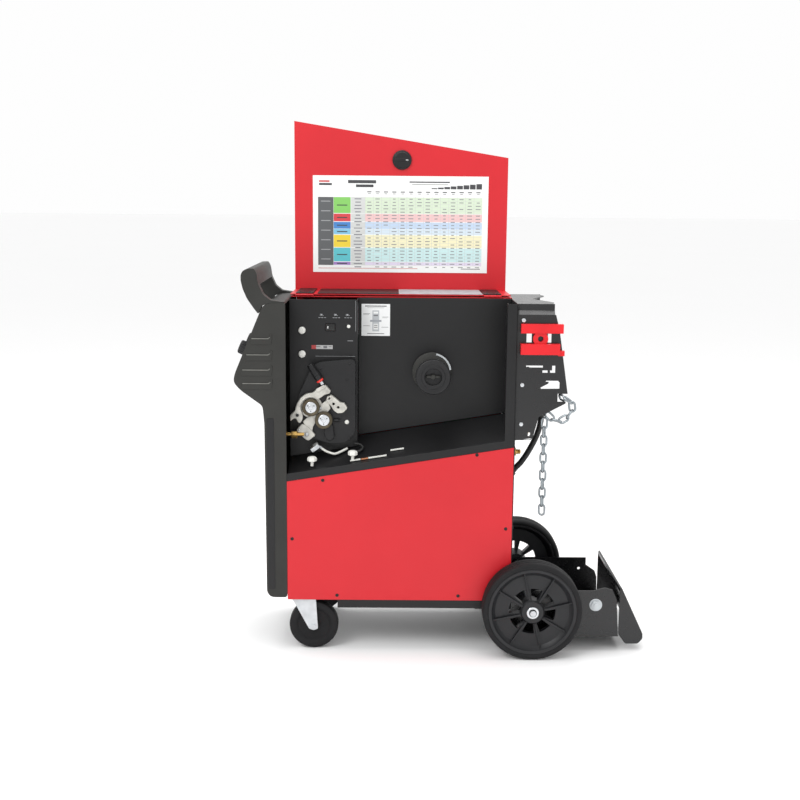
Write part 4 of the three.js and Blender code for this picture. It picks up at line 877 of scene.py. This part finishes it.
# %% Control strip
DRIVE_Y = -80.0
marks = []
for x0 in (76, 112, 142):
    marks += [(x0, x0 + 5, 856, 857.2), (x0 + 7, x0 + 12, 856, 857.2),
        (x0 + 14, x0 + 19, 856, 857.2), (x0 + 6, x0 + 10, 862, 866),
        (x0 + 11, x0 + 13, 861.5, 862.6), (x0 + 4, x0 + 5, 861, 866.4)]
marks += [(150, 164, 797, 798.2), (68, 170, 757.2, 757.9), (170.4, 171.2, 822, 900)]
make_piece("strip_pictograms", [plate("xz", rectangle(a, b, c, d, .2), DRIVE_Y - .35, DRIVE_Y + .5,
            .05) for a, b, c, d in marks], MARK)
make_piece("purge_button",
    [turned("y", (153, 0, 835), [(0, DRIVE_Y + .5), (8, DRIVE_Y + .5), (8, DRIVE_Y - 1.2),
                (6, DRIVE_Y - 2), (6, DRIVE_Y - 1), (5.2, DRIVE_Y - 1), (5.2, DRIVE_Y - 3.4),
                (4.4, DRIVE_Y - 4), (0, DRIVE_Y - 4)], 32)], DARK)
make_piece("purge_button_cap",
    [turned("y", (153, 0, 835), [(0, DRIVE_Y - 3.6), (4.4, DRIVE_Y - 3.6), (4.2, DRIVE_Y - 4.8),
                (0, DRIVE_Y - 5.2)], 24)], WHITE)
label_cells = [(0, .22, 0, 1, (.35, .03, .03)), (.2, .42, .25, .4, INKY),
    (.2, .5, .55, .68, (.3, .3, .3)), (.56, .74, .2, .8, (.12, .12, .13)),
    (.8, .95, .3, .42, INKY), (.8, .92, .6, .7, (.35, .35, .35))]
painted_sheet("strip_label", label_cells, (.38, .38, .38), (58, 776), (112, 786), DRIVE_Y - .4,
    DRIVE_Y + .3, PRINT, "cabinet")
stud = [(0, DRIVE_Y - 9.2), (5.4, DRIVE_Y - 9.2), (8.4, DRIVE_Y - 7.8), (9.3, DRIVE_Y - 5),
    (9.3, DRIVE_Y - .6), (0, DRIVE_Y - .6)]
make_piece("strip_studs", [turned("y", (34, 0, z), rounded_profile(stud, 1.2), 36)
        for z in (824, 763)], WHITE)
bezel_ring = plate("xz", rectangle(93.2, 118.8, 822.2, 841.8, 2.5), DRIVE_Y - 1.6, DRIVE_Y + .5,
    .6, [rectangle(94.2, 117.8, 823.2, 840.8, 1.5)])
make_piece("rocker_bezel", [bezel_ring], DARK)
side = [(94.6, -76.0), (94.6, -83.6), (96.5, -84.0), (106, -81.4), (115.5, -84.0), (117.4, -83.6),
    (117.4, -76.0)]
rocker_form = plate("xy", np.array(side), 823.8, 840.2, .6)
make_piece("rocker_paddle", [rocker_form], finish("rocker_black", (.005, .005, .005), .28,
        drift=.1, bump=.04), "rocker", ("feeder_switch",))
make_piece("rocker_mark", [plate("xz", rectangle(99, 101, 829, 835, .4), -83.3, -82.5, .1)], LABEL,
    "rocker")

# %% [markdown]
# ## Wire drive
# The drive is a set of bare alloy castings bolted to a dark gear case: a bridge, a drilled arm and a
# clamp block stay still, and a pressure arm with the idle roll swings on a pin. Castings have soft
# edges and a fine sand grain, so each outline is lifted as a plate with wide rounded rims.

# %% Castings
CASE_Y, FRAME_Y, ROLL_Y = -104.0, -112.0, -123.0
DRIVE, IDLE = np.array([91.0, 598.0]), np.array([91 - 46.5 * math.sqrt(.5),
        598 + 46.5 * math.sqrt(.5)])
drilled = [(97, 652), (109, 664), (117, 658), (134, 643), (143, 643), (152, 629), (141, 617),
    (126, 615), (115, 624), (111, 632), (97, 648)]
bridge = [(109, 628), (101, 618), (90, 612), (76, 606), (70, 597), (68, 587), (63, 580), (61, 562),
    (51, 568), (36, 592), (51, 606), (70, 610), (78, 624), (84, 638), (100, 650)]
clamp = [(20, 571), (35, 588), (54, 577), (64, 565), (70, 557), (51, 542), (42, 547), (26, 563)]
holes = [circle(u, z, 3.1, 16) for u, z in ((104, 654), (116, 640), (128, 631))]
frame_shapes = [plate("xz", rounded_outline(drilled, 4, 3), FRAME_Y - 6, CASE_Y - .2, 2.2, holes),
    plate("xz", rounded_outline(bridge, 3, 3), FRAME_Y, CASE_Y - .2, 1.8),
    plate("xz", rounded_outline(clamp, 4, 3), FRAME_Y - 2, CASE_Y - .2, 2.4),
    turned("y", (DRIVE[0], 0, DRIVE[1]), [(0, FRAME_Y), (18, FRAME_Y), (19, FRAME_Y + 1),
            (19, CASE_Y - .2), (0, CASE_Y - .2)]),
    turned("y", (47.4, 0, 560),
        rounded_profile([(0, FRAME_Y - 4), (7, FRAME_Y - 4), (7.6, FRAME_Y + 2), (0, FRAME_Y + 2)],
            1), 24)]
make_piece("drive_castings", frame_shapes, CAST, replaces=("drive_frame",))
make_piece("casting_screws", [screw("y", (47.4, FRAME_Y - 4, 560), 5.2, 3),
        screw("y", (82, FRAME_Y, 628), 3.6, 2.4), screw("y", (28, FRAME_Y - 2, 572), 3.2, 2.2)],
    STEEL)
ARM_BORE = 26.0
inner = [tuple(IDLE + ARM_BORE * np.array([math.cos(math.radians(a)), math.sin(math.radians(a))]))
    for a in (48, 72, 96, 120, 144, 168, 192, 210)]
arm = [(77, 680), (95, 689), (109, 674), (106, 667), (94, 664), *inner, (38, 604), (36, 598),
    (31, 590), (25, 592), (20, 602), (14, 602), (8, 596), (5, 597), (5, 610), (17, 622), (22, 640),
    (32, 656), (46, 666), (63, 669)]
arm_shapes = [plate("xz", rounded_outline(arm, 2.5, 3), ROLL_Y + 2, CASE_Y - .4, 2.2),
    turned("y", (24, 0, 611), [(0, ROLL_Y + 1), (5.2, ROLL_Y + 1), (6.4, ROLL_Y + 2.4),
            (6.4, ROLL_Y + 5), (0, ROLL_Y + 5)], 24), turned("y", (IDLE[0], 0, IDLE[1]),
        [(0, FRAME_Y + 3), (28, FRAME_Y + 3), (29, FRAME_Y + 4), (29, CASE_Y - .4),
            (0, CASE_Y - .4)]),
    plate("xz", rounded_outline([(70, 678), (92, 690), (97, 683), (76, 671)], 2, 3), ROLL_Y - 1,
        ROLL_Y + 4, 1.4)]
make_piece("pressure_arm_casting", arm_shapes, CAST, "arm", ("pressure_arm",))
make_piece("arm_pin_head", [screw("y", (24, ROLL_Y + 1, 611), 4.4, 2.4)], STEEL, "arm")


# %% [markdown]
# ## Drive rolls, knob, lever and fittings
# The rolls are turned steel with a bright face, set in a dark bronze rim with a wire groove. The
# tension knob leans back over the arm with a red ring at its foot. The gun bush is brass, the gas
# fitting is plated steel, and the thumb screws are white nylon.

# %% Rolls
for name, centre, node, body in (("drive_roll", DRIVE, "drive_roll", "drive_roll_body"),
    ("idle_roll", IDLE, "idle_roll", "idle_roll_body")):
    at = (centre[0], 0, centre[1])
    ring = [(15.2, ROLL_Y + 1.4), (18.5, ROLL_Y), (21.4, ROLL_Y + .6), (22.4, ROLL_Y + 2),
        (22.4, ROLL_Y + 4.4), (20.6, ROLL_Y + 5.6), (22.4, ROLL_Y + 6.8), (22.4, FRAME_Y - .8),
        (21.6, FRAME_Y - .4), (15.2, FRAME_Y - .4), (15.2, ROLL_Y + 1.4)]
    make_piece(name + "_rim", [turned("y", at, ring, 48)], BRONZE, body, (node,))
    cap = rounded_profile([(0, ROLL_Y - .6), (5, ROLL_Y - .6), (5.6, ROLL_Y + .4),
            (13.4, ROLL_Y + .4), (15, ROLL_Y + 1.6), (15, FRAME_Y - .6), (0, FRAME_Y - .6)], .8)
    make_piece(name + "_face", [turned("y", at, cap, 40)], ZINC, body)
    slots = [turned("y", (centre[0] + 9.4 * math.cos(a), 0, centre[1] + 9.4 * math.sin(a)),
            [(0, ROLL_Y + .1), (1.5, ROLL_Y + .1), (1.5, ROLL_Y + 1), (0, ROLL_Y + 1)], 12)
        for a in np.radians((30, 150, 270))]
    make_piece(name + "_pins", slots, DARK, body)

# %% Tension knob
LEAN = np.array([-.55, 0, .835]) / math.hypot(.55, .835)
SIDE = np.array([LEAN[2], 0, -LEAN[0]])
HEAD = np.array([88.0, -115.0, 690.0])


def leaning(shape):
    """Stands a form turned about z along the knob's leaning axis, from its seat in the arm's head."""
    p, faces = shape
    return HEAD + p[:, :1] * SIDE + p[:, 1:2] * np.array([0, 1.0, 0]) + p[:, 2:] * LEAN, faces


grooves = []
for k in range(9):
    z = 31 + 3 * k
    r = 9.3 - .15 * k
    grooves += [(r, z), (r, z + 1.8), (r - .8, z + 2.1), (r - .8, z + 2.8)]
knob = [(0, 27.2), (8.6, 27.2), (9.4, 28.4), *grooves, (7.9, 58), (6.8, 59.6), (0, 60)]
make_piece("tension_knob_grip", [leaning(turned("z", (0, 0, 0), knob, 32))], DARK, "tension",
    ("tension_knob",))
make_piece("tension_ring",
    [leaning(turned("z", (0, 0, 0), [(0, 9.4), (8.8, 9.4), (9.3, 10.2), (9.3, 13.6), (8.8, 14.2),
                (0, 14.2)], 32))], SIGNAL, "tension")
make_piece("tension_stem",
    [leaning(turned("z", (0, 0, 0), [(0, 0), (5.4, 0), (5.4, 8), (4.6, 9), (0, 9)], 24))], STEEL,
    "arm")
make_piece("tension_sleeve",
    [leaning(turned("z", (0, 0, 0), [(0, 14.2), (8.8, 14.2), (9.3, 15), (9.3, 26.6), (8.8, 27.2),
                (0, 27.2)], 32))], DARK, "tension")

# %% Gear case, lever and fittings
refined("gear_case", DARK, 2.2, 3)
lever = [(89.6, 573), (95, 549), (107, 541.5), (118.4, 551), (114.6, 581), (109, 592)]
make_piece("release_lever", [plate("xz", rounded_outline(lever, 6, 4), FRAME_Y - 3, CASE_Y - .3,
            2.4)], DARK)
make_piece("case_screws", [screw("y", (u, CASE_Y, z), 3.2, 1.6)
        for u, z in ((84, 728), (158, 741), (160, 552), (150, 700))], DARK)
GUN_Z = 560.0
adapter_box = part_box("gun_adapter")
ADAPTER_Y = float(adapter_box[0].y + adapter_box[1].y) * 500
adapter = [(0, -53), (13, -53), (15, -51), (15, -8), (13, -6.5), (8, -6), (5, -4), (5, 40), (0, 40)]
make_piece("gun_adapter_bush", [turned("x", (0, ADAPTER_Y, GUN_Z), adapter, 40)], BRASS,
    replaces=("gun_adapter",))
make_piece("liner_collar",
    [turned("x", (0, ADAPTER_Y, GUN_Z - 1), rounded_profile([(0, 7), (9.6, 7), (9.6, 23), (0, 23)],
                1.6), 6)], BRASS)
HOSE_Y = -116.0
hose = smooth_path([(74, HOSE_Y, 531), (86, HOSE_Y, 523.5), (98, HOSE_Y, 516), (118, HOSE_Y, 510),
        (134, HOSE_Y + 8, 514), (150, HOSE_Y + 20, 520)], 40)
make_piece("shielding_gas_hose", [tube(hose, 3.1, 16)], WHITE, replaces=("gas_hose",))
fitting_path = np.array([(60, HOSE_Y, 518.5), (63, HOSE_Y, 520.8), (70, HOSE_Y, 526),
        (76, HOSE_Y, 530.5), (79, HOSE_Y, 532.7)])
make_piece("hose_fitting", [sweep(fitting_path, circle(0, 0, 10.4, 6), [.9, 1, 1, 1, .9],
            up=(0, 1, 0)), tube([(76, HOSE_Y, 530.5), (80, HOSE_Y, 528), (85, HOSE_Y, 524.5)], 4.4,
            16, up=(0, 1, 0))], STEEL)


THUMB_Y = -150.0


def thumb_screw(u, z):
    """A stem and head turned about z; in the head's rows r becomes r + 0.9 w cos 6a, six soft lobes."""
    a = np.linspace(0, 2 * np.pi, 48, endpoint=False)
    rows = [(4, 0, 0), (4, 11, 0), (9, 12, 1), (11.3, 13.6, 1), (11.3, 20, 1), (9.4, 23.6, 1),
        (5, 24.8, .3), (.01, 25, 0)]
    r, h, w = [np.array(k, float)[:, None] for k in zip(*rows)]
    reach = r + w * .9 * np.cos(6 * a)
    grid = np.stack([u + reach * np.cos(a), THUMB_Y + reach * np.sin(a), z + h + 0 * reach], -1)
    return grid.reshape(-1, 3), grid_faces(len(rows), 48, False, True).tolist() + [list(range(48))]


screw_low = {n: float(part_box(n)[0].z) * 1000 for n in ("gun_clamp_screw", "polarity_screw")}
make_piece("gun_clamp_thumb_screw", [thumb_screw(63, screw_low["gun_clamp_screw"])], WHITE,
    "clamp_screw", ("gun_clamp_screw",))
make_piece("polarity_thumb_screw", [thumb_screw(166, screw_low["polarity_screw"])], WHITE,
    replaces=("polarity_screw",))
lead_a = smooth_path([(170, -90, 532), (184, -96, 530), (190, -106, 524), (184, -118, 519),
        (172, -124, 517)], 30)
make_piece("polarity_lead", [tube(lead_a, 3.4, 14)], CABLE)
make_piece("wire_inlet_guide",
    [turned("x", (0, -108, 596), [(0, 116), (3.4, 116), (4.4, 117), (4.4, 128), (2.6, 129.5),
                (2.6, 133), (0, 133)], 24)], DARK)
make_piece("dot_caps", [screw("y", (149.5, CASE_Y, 590.6), 5.6, 3.4)], WHITE)

# %% Floor clips
def clip(u0, u1, y, lift):
    """A short flat strip that follows the floor's slope from u0 to u1: z = sill + rise + lift."""
    z = lambda u: 449 + .16056 * u + 16 + .3 * (y + 167.7) + 2.4 + lift
    path = np.array([(u, y, z(u)) for u in np.linspace(u0, u1, 5)])
    return sweep(path, rectangle(-4, 4, -1.6, 1.6, .8))


make_piece("floor_clips_white", [clip(160, 186, -150, 1.6), clip(206, 252, -150, 1.6),
        clip(262, 296, -128, 1.6)], WHITE)
make_piece("floor_clip_copper", [clip(188, 205, -150, 1.4)], COPPER)

# %% [markdown]
# ## Spool spindle
# A black nylon hub with a wide rear flange carries a turned collar with an eye in its middle. A pale
# crescent label shows on the flange at the upper right.

# %% Spindle
SPINDLE = (369, 0, 711)
hub = [(10, -101.7), (22.5, -101.7), (24.8, -99), (24.8, -40), (27, -34), (50, -32), (52, -30.5),
    (52, -25.5), (50.5, -24), (8.3, -24), (8.3, -92), (10, -92), (10, -101.7)]
make_piece("spindle_hub_moulding", [turned("y", SPINDLE, hub, 56)], MOULDED, "spool_hub",
    ("spindle_hub",))
collar = [(17, -108.2), (20.6, -109), (21.2, -120.4), (22.6, -122), (30, -122), (31, -120.8),
    (41, -120.8), (42.4, -121.6), (44.4, -120), (45, -117.6), (45, -105), (43.6, -102.6),
    (0, -102.4), (0, -108.2), (17, -108.2)]
rib_blocks = []
for a in np.arange(0, 360, 20):
    c, s = math.cos(math.radians(a)), math.sin(math.radians(a))
    rib_blocks.append(turned("y", (SPINDLE[0] + 44.2 * c, 0, SPINDLE[2] + 44.2 * s),
            [(0, -119), (1.9, -118.4), (1.9, -104), (0, -103.4)], 8))
make_piece("retaining_collar_moulding", [turned("y", SPINDLE, collar, 64), *rib_blocks], DARK,
    "spool_hub", ("retaining_collar",))
make_piece("spindle_release_bar",
    [plate("xz", rectangle(SPINDLE[0] - 17.5, SPINDLE[0] + 17.5, SPINDLE[2] - 3.4,
                SPINDLE[2] + 3.4, 1.5), -115, -107.6, 1.2),
        turned("y", SPINDLE, [(0, -117.2), (5.6, -117), (6.4, -116), (6.4, -108), (0, -108)], 24)],
    MOULDED, "spool_hub")
a = np.radians(np.linspace(8, 78, 18))
crescent = np.concatenate([np.stack([SPINDLE[0] + 50.4 * np.cos(a), SPINDLE[2] + 50.4 * np.sin(a)],
            1), np.stack([SPINDLE[0] + 45.8 * np.cos(a), SPINDLE[2] + 45.8 * np.sin(a)], 1)[::-1]])
make_piece("flange_label", [plate("xz", crescent, -32.4, -31.2, .15)], PLATED, "spool_hub")
refined("spindle_shaft", STEEL, .6)

# %% Spool label on the back wall
mark_cells = [(.12, .88, .05, .08, INKY), (.2, .8, .11, .125, (.3, .3, .3)),
    (.38, .62, .2, .86, (.42, .44, .46)), (.42, .58, .24, .3, (.75, .76, .75)),
    (.42, .58, .34, .38, (.15, .15, .16)), (.3, .7, .5, .56, (.3, .32, .34)),
    (.42, .58, .62, .8, (.7, .71, .7)), (.44, .56, .66, .68, INKY), (.44, .56, .72, .74, INKY),
    (.06, .3, .3, .312, INKY), (.06, .26, .33, .34, (.3, .3, .3)), (.72, .94, .4, .412, INKY),
    (.72, .9, .43, .44, (.3, .3, .3)), (.06, .3, .68, .692, INKY), (.7, .94, .72, .732, INKY),
    (.2, .8, .92, .94, INKY)]
painted_sheet("spool_label", mark_cells, (.76, .77, .77), (184, 804), (258, 887), -20.6, -20.0,
    PRINT, "cabinet")

# %% [markdown]
# ## Bottle bracket, hanger and chain
# The black bracket and the red cable hanger are folded sheet with punched slots, so both are refined
# copies. The safety chain is real: each link is a bar bent to a long oval, and every second link is
# turned a quarter turn, as in any chain.

# %% Bracket and hanger
refined("cylinder_bracket", SATIN, 1.6, 3)
refined("cable_hanger", DEEP_RED, 2.4, 3)
refined("cylinder_tray", SATIN, 1.2, 2)
refined("cylinder_ramp", SATIN, 1.4, 2)
make_piece("tray_bolt", [plate("xz", circle(796, 125, 13.5, 6), -169.5, -162.8, 1.6),
        turned("y", (796, 0, 125), [(0, -164.2), (16, -164.2), (16.6, -163.6), (16.6, -162.9),
                (0, -162.9)], 40), turned("y", (796, 0, 125), [(0, -172), (5.5, -172), (6.5, -171),
                (6.5, -166), (0, -166)], 24)], PLATED)
make_piece("bracket_bolts", [plate("xz", circle(590, z, 5.6, 6), low, high, .9)
        for low, high in ((-165.6, -161.9), (161.9, 165.6)) for z in (862, 700, 600)], ZINC)


# %% Chain links
def chain(points, pitch, half_width, wire, first_turn=0.0):
    """Links stand at even steps along the path. A link's bar follows a long oval: a straight stretch
    and two half circles, whose long axis lies along the path and whose width axis turns a quarter
    from link to link."""
    run = np.linalg.norm(np.diff(points, axis=0), axis=1).sum()
    count = max(2, int(round(run / pitch)))
    line = smooth_path(points, count * 2 + 1)
    centres = line[1::2]
    d = line[2::2] - line[:-2:2]
    d /= np.linalg.norm(d, axis=1)[:, None]
    half_length = pitch / 2 + wire
    straight = half_length - half_width
    t = np.linspace(-np.pi / 2, np.pi / 2, 7)
    oval = np.concatenate([np.stack([straight + half_width * np.cos(t), half_width * np.sin(t)],
                1), np.stack([-straight - half_width * np.cos(t), -half_width * np.sin(t)], 1)])
    shapes = []
    for k in range(count):
        helper = np.array([0, 1.0, 0]) if abs(d[k][1]) < .8 else np.array([1.0, 0, 0])
        a = np.cross(d[k], helper)
        a /= np.linalg.norm(a)
        b = np.cross(d[k], a)
        turn = first_turn + (math.pi / 2 if k % 2 else 0)
        w = a * math.cos(turn) + b * math.sin(turn)
        n = np.cross(d[k], w)
        path = centres[k] + oval[:, :1] * d[k] + oval[:, 1:] * w
        shapes.append(tube(path, wire, 10, closed=True, up=n))
    return shapes


WIRE = 2.8
tail_chain = chain(np.array([(650, -150, 612), (650, -150, 487), (650, -150, 364)]), 22, 7.4, WIRE,
    .4)
make_piece("safety_chain_tail", tail_chain, CHAIN, "loose_chain", ("chain_tail",), sharp=70)
loop = np.array([(690, -151, 668), (693, -166, 668), (706, -170.5, 663), (716, -170, 646),
        (708, -169, 625), (688, -165, 610), (670, -158, 613), (656, -152, 626)])
make_piece("safety_chain_loop", chain(loop, 20, 7.4, WIRE, .3), CHAIN, replaces=("chain_loop",),
    sharp=70)

# %% [markdown]
# ## Wheels
# A rear wheel is one moulded dish under a solid tyre. Eight windows pierce it close to the hub and
# eight ribs run out to the rim. The dish is worked out in polar steps: radius across, angle around,
# and the rows that cross a window are left open there, with walls through its thickness.

# %% The wheel dish
WHEEL = np.array([625.0, 127.0])


def wheel_dish(y_mid, outward, turn):
    """Grid over radius and angle. Height = hub plateau, a sloping dish and a raised rim, each a
    function of radius; two such skins, 9 mm apart, are stitched round every window and both rims."""
    radii = np.array([12, 16, 22, 27, 31, 35, 45, 55, 59.5, 64, 74, 84, 94, 101, 104, 108, 111.7])
    height = np.interp(radii, [12, 27, 31, 60, 98, 103, 106, 111.7], [26.5, 26.5, 21, 14, 12, 22,
            25, 25])
    back = np.interp(radii, [12, 27, 31, 60, 98, 103, 106, 111.7], [-26.5, -26.5, -2, -2, -2, -18,
            -25, -25])
    columns = 96
    angle = np.linspace(0, 2 * np.pi, columns, endpoint=False) + turn
    keep = np.ones((len(radii) - 1, columns), bool)
    window = (np.arange(columns) % 12)
    keep[4:8] = ~((window >= 2) & (window < 10))
    c, s = np.cos(angle), np.sin(angle)
    skin = lambda h: np.stack([WHEEL[0] + radii[:, None] * c,
            np.broadcast_to(y_mid + outward * h[:, None], (len(radii), columns)),
            WHEEL[1] + radii[:, None] * s], -1).reshape(-1, 3)
    points = np.concatenate([skin(height), skin(back)])
    quads = grid_faces(len(radii), columns, False, True).reshape(len(radii) - 1, columns, 4)
    top = quads[keep]
    n = len(radii) * columns
    bottom = top[:, ::-1] + n
    edges = np.concatenate([top[:, [0, 1]], top[:, [1, 2]], top[:, [2, 3]], top[:, [3, 0]]])
    key = np.sort(edges, 1)
    code = key[:, 0] * 100000 + key[:, 1]
    values, index, counts = np.unique(code, return_index=True, return_counts=True)
    rim = edges[index[counts == 1]]
    walls = np.stack([rim[:, 1], rim[:, 0], rim[:, 0] + n, rim[:, 1] + n], 1)
    return points, top.tolist() + bottom.tolist() + walls.tolist()


def wheel_rib(y_mid, outward, angle):
    """A low straight rib from the hub to the rim, turned to its angle about the axle."""
    p, faces = plate("xy", np.array([(30, -2.2), (104, -1.6), (104, 1.6), (30, 2.2)]), 10, 20.5, .8)
    p = p.copy()
    p[:, 2] = np.where(p[:, 2] > 15, np.interp(p[:, 0], [30, 104], [24.5, 18.5]) - (20.5 - p[:,
                2]), p[:, 2])
    c, s = math.cos(angle), math.sin(angle)
    return np.stack([WHEEL[0] + p[:, 0] * c - p[:, 1] * s, y_mid + outward * p[:, 2],
            WHEEL[1] + p[:, 0] * s + p[:, 1] * c], 1), faces


TYRE = [(112.3, -25), (112.3, 25), (116, 27.4), (120, 28), (123.6, 26.6), (126, 22.5), (127, 17),
    (127, 8), (125.6, 7.4), (125.6, 5.2), (127, 4.6), (127, -4.6), (125.6, -5.2), (125.6, -7.4),
    (127, -8), (127, -17), (126, -22.5), (123.6, -26.6), (120, -28), (116, -27.4), (112.3, -25)]
for name, y_mid, outward in (("near", -203.0, -1.0), ("far", 203.0, 1.0)):
    body = "rear_wheel_" + name
    first = math.radians(58 if outward < 0 else 40)
    at = (WHEEL[0], y_mid, WHEEL[1])
    ribs = [wheel_rib(y_mid, outward, first + k * math.pi / 4) for k in range(8)]
    make_piece(f"rim_{name}", [wheel_dish(y_mid, outward, first), *ribs], RIM, body,
        (f"wheel_{name}",))
    make_piece(f"tyre_{name}_solid", [turned("y", at, TYRE, 96)], RUBBER, body, (f"tyre_{name}",),
        sharp=50)
    cap = [(8.4, 27.6), (10.5, 27.6), (10.5, 30.2), (14.6, 30.2), (15.4, 29.4), (15.4, 26),
        (8.4, 26), (8.4, 27.6)]
    make_piece(f"axle_washer_{name}", [turned("y", at, [(r, outward * h) for r, h in cap], 40)],
        ZINC, "cabinet")
    make_piece(f"axle_cap_{name}",
        [turned("y", at, [(0, outward * 33.2), (5, outward * 33.2), (9.4, outward * 31.6),
                    (9.4, outward * 26.4), (0, outward * 26.4)], 32)], DARK, "cabinet")
refined("rear_axle", STEEL, .8)

# %% [markdown]
# ## Casters
# Each caster is a pressed, zinc-plated fork with a broad leg on a ball-race head, and a solid wheel
# with a raised hub. The fork swivels and the wheel rolls in it.

# %% Casters
for name, y in (("near", -140.0), ("far", 140.0)):
    refined("caster_fork_" + name, PLATED, 1.4, 3)
    wheel = [(5.6, -17.6), (13, -17.6), (15, -16.4), (17.5, -11), (26, -10), (41, -10.5),
        (45, -14.5), (50, -16), (58, -16), (61.6, -14), (63.4, -9), (63.4, 9), (61.6, 14),
        (58, 16), (50, 16), (45, 14.5), (41, 10.5), (26, 10), (17.5, 11), (15, 16.4), (13, 17.6),
        (5.6, 17.6), (5.6, -17.6)]
    make_piece("caster_tread_" + name, [turned("y", (66, y, 63.5), wheel, 72)], RUBBER,
        "front_wheel_" + name, ("caster_wheel_" + name,), sharp=40)

# %% [markdown]
# ## Rear panel, far side and inside
# A finger guard lies over the fan, the gas inlet is a brass hose tail, and the work terminal is a
# bayonet socket low on the front. Inside stand a transformer with copper windings, a power board and
# the fan, seen through slots and the open compartment.

# %% Rear and inner parts
refined("fan_blades", DARK, .6)
refined("fan_motor", DARK, 1.2)
refined("drive_motor", DARK, 1.6)
refined("transformer", IRON, 1.6)
refined("circuit_board", BOARD, .4)
inlet_low, inlet_high = node_box("gas_inlet")
centre = (inlet_low + inlet_high) / 2
x0, x1 = inlet_low[0], inlet_high[0]
barb = [(0, x0), (6.8, x0), (6.8, 575.7), (9.6, 575.7), (9.6, 576.4), (9, 577), (9, 583.3),
    (6, 584), (6, 586)]
for k in range(3):
    barb += [(6.8, 587 + 2.9 * k), (5.0, 589.4 + 2.9 * k)]
barb += [(4.6, x1), (0, x1)]
make_piece("gas_inlet_tail", [turned("x", (0, centre[1], centre[2]), barb, 32),
        plate("yz", circle(centre[1], centre[2], 10.8, 6), 576, 583, 1)], BRASS,
    replaces=("gas_inlet",))
work_low, work_high = node_box("work_terminal")
wc = (work_low + work_high) / 2
wr = (work_high[1] - work_low[1]) / 2
print("work terminal", work_low.round(1), work_high.round(1))
face, tail_x = work_low[0], work_high[0]
socket = rounded_profile([(0, tail_x), (wr * .8, tail_x), (wr * .8, face + 10),
        (wr - .2, face + 9), (wr - .2, face + 3), (wr - 2, face + .2), (wr * .55, face + .2),
        (wr * .52, face + 8), (0, face + 8)], 1)
make_piece("work_socket", [turned("x", (0, wc[1], wc[2]), socket, 48)], DARK,
    replaces=("work_terminal",))
make_piece("work_socket_core",
    [turned("x", (0, wc[1], wc[2]), [(0, face + 3), (wr * .34, face + 3), (wr * .4, face + 4),
                (wr * .4, face + 9), (0, face + 9)], 32)], BRASS)
FAN_Y, FAN_Z = 0.0, 240.0
FOUR_WAYS = np.radians((45, 135, 225, 315))
rings = [turned("x", (0, FAN_Y, FAN_Z), [(r - 1, 578.6), (r + 1, 578.6), (r + 1, 580.4),
            (r - 1, 580.4), (r - 1, 578.6)], 48) for r in (18, 30, 42, 54, 64)]
bars = [tube([(579.4, FAN_Y + 16 * math.cos(a), FAN_Z + 16 * math.sin(a)),
            (579.4, FAN_Y + 70 * math.cos(a), FAN_Z + 70 * math.sin(a))], 1.3, 8, up=(1, 0, 0))
    for a in FOUR_WAYS]
feet = [turned("x", (0, FAN_Y + 70 * math.cos(a), FAN_Z + 70 * math.sin(a)),
        [(0, 575.2), (5, 575.2), (5, 580.6), (2, 581.4), (0, 581.4)], 16) for a in FOUR_WAYS]
make_piece("fan_guard", rings + bars + feet, ZINC)

# %% Knobs and power switch
for node, body, y in (("wire_speed_knob", "speed_knob", 82), ("voltage_knob", "volt_knob", -82)):
    low = surface - 1.2
    a = np.linspace(0, 2 * np.pi, 120, endpoint=False)
    profile = [(19.6, 1.4, 0), (20, 3, .0), (17.6, 4.5, 1), (17.2, 17, 1), (16.2, 20, .8),
        (14, 21.4, .2), (.01, 21.4, 0)]
    r, h, w = [np.array(k, float)[:, None] for k in zip(*profile)]
    reach = r + w * .7 * np.cos(20 * a)
    grid = np.stack([y + reach * np.cos(a), reach * np.sin(a) - 40, low + h + 0 * reach],
        -1).reshape(-1, 3)
    knob_faces = grid_faces(len(profile), 120, False, True).tolist() + [list(range(120))]
    make_piece(node + "_grip", [on_face((grid, knob_faces))], DARK, body, (node,))
    make_piece(node + "_pointer",
        [on_face(plate("xy", rectangle(y - .8, y + .8, -38 + 4, -38 + 13, .4), low + 20.6,
                    low + 21.9, .2))], LABEL, body)
refined("power_switch", DARK, 1.0, 3)
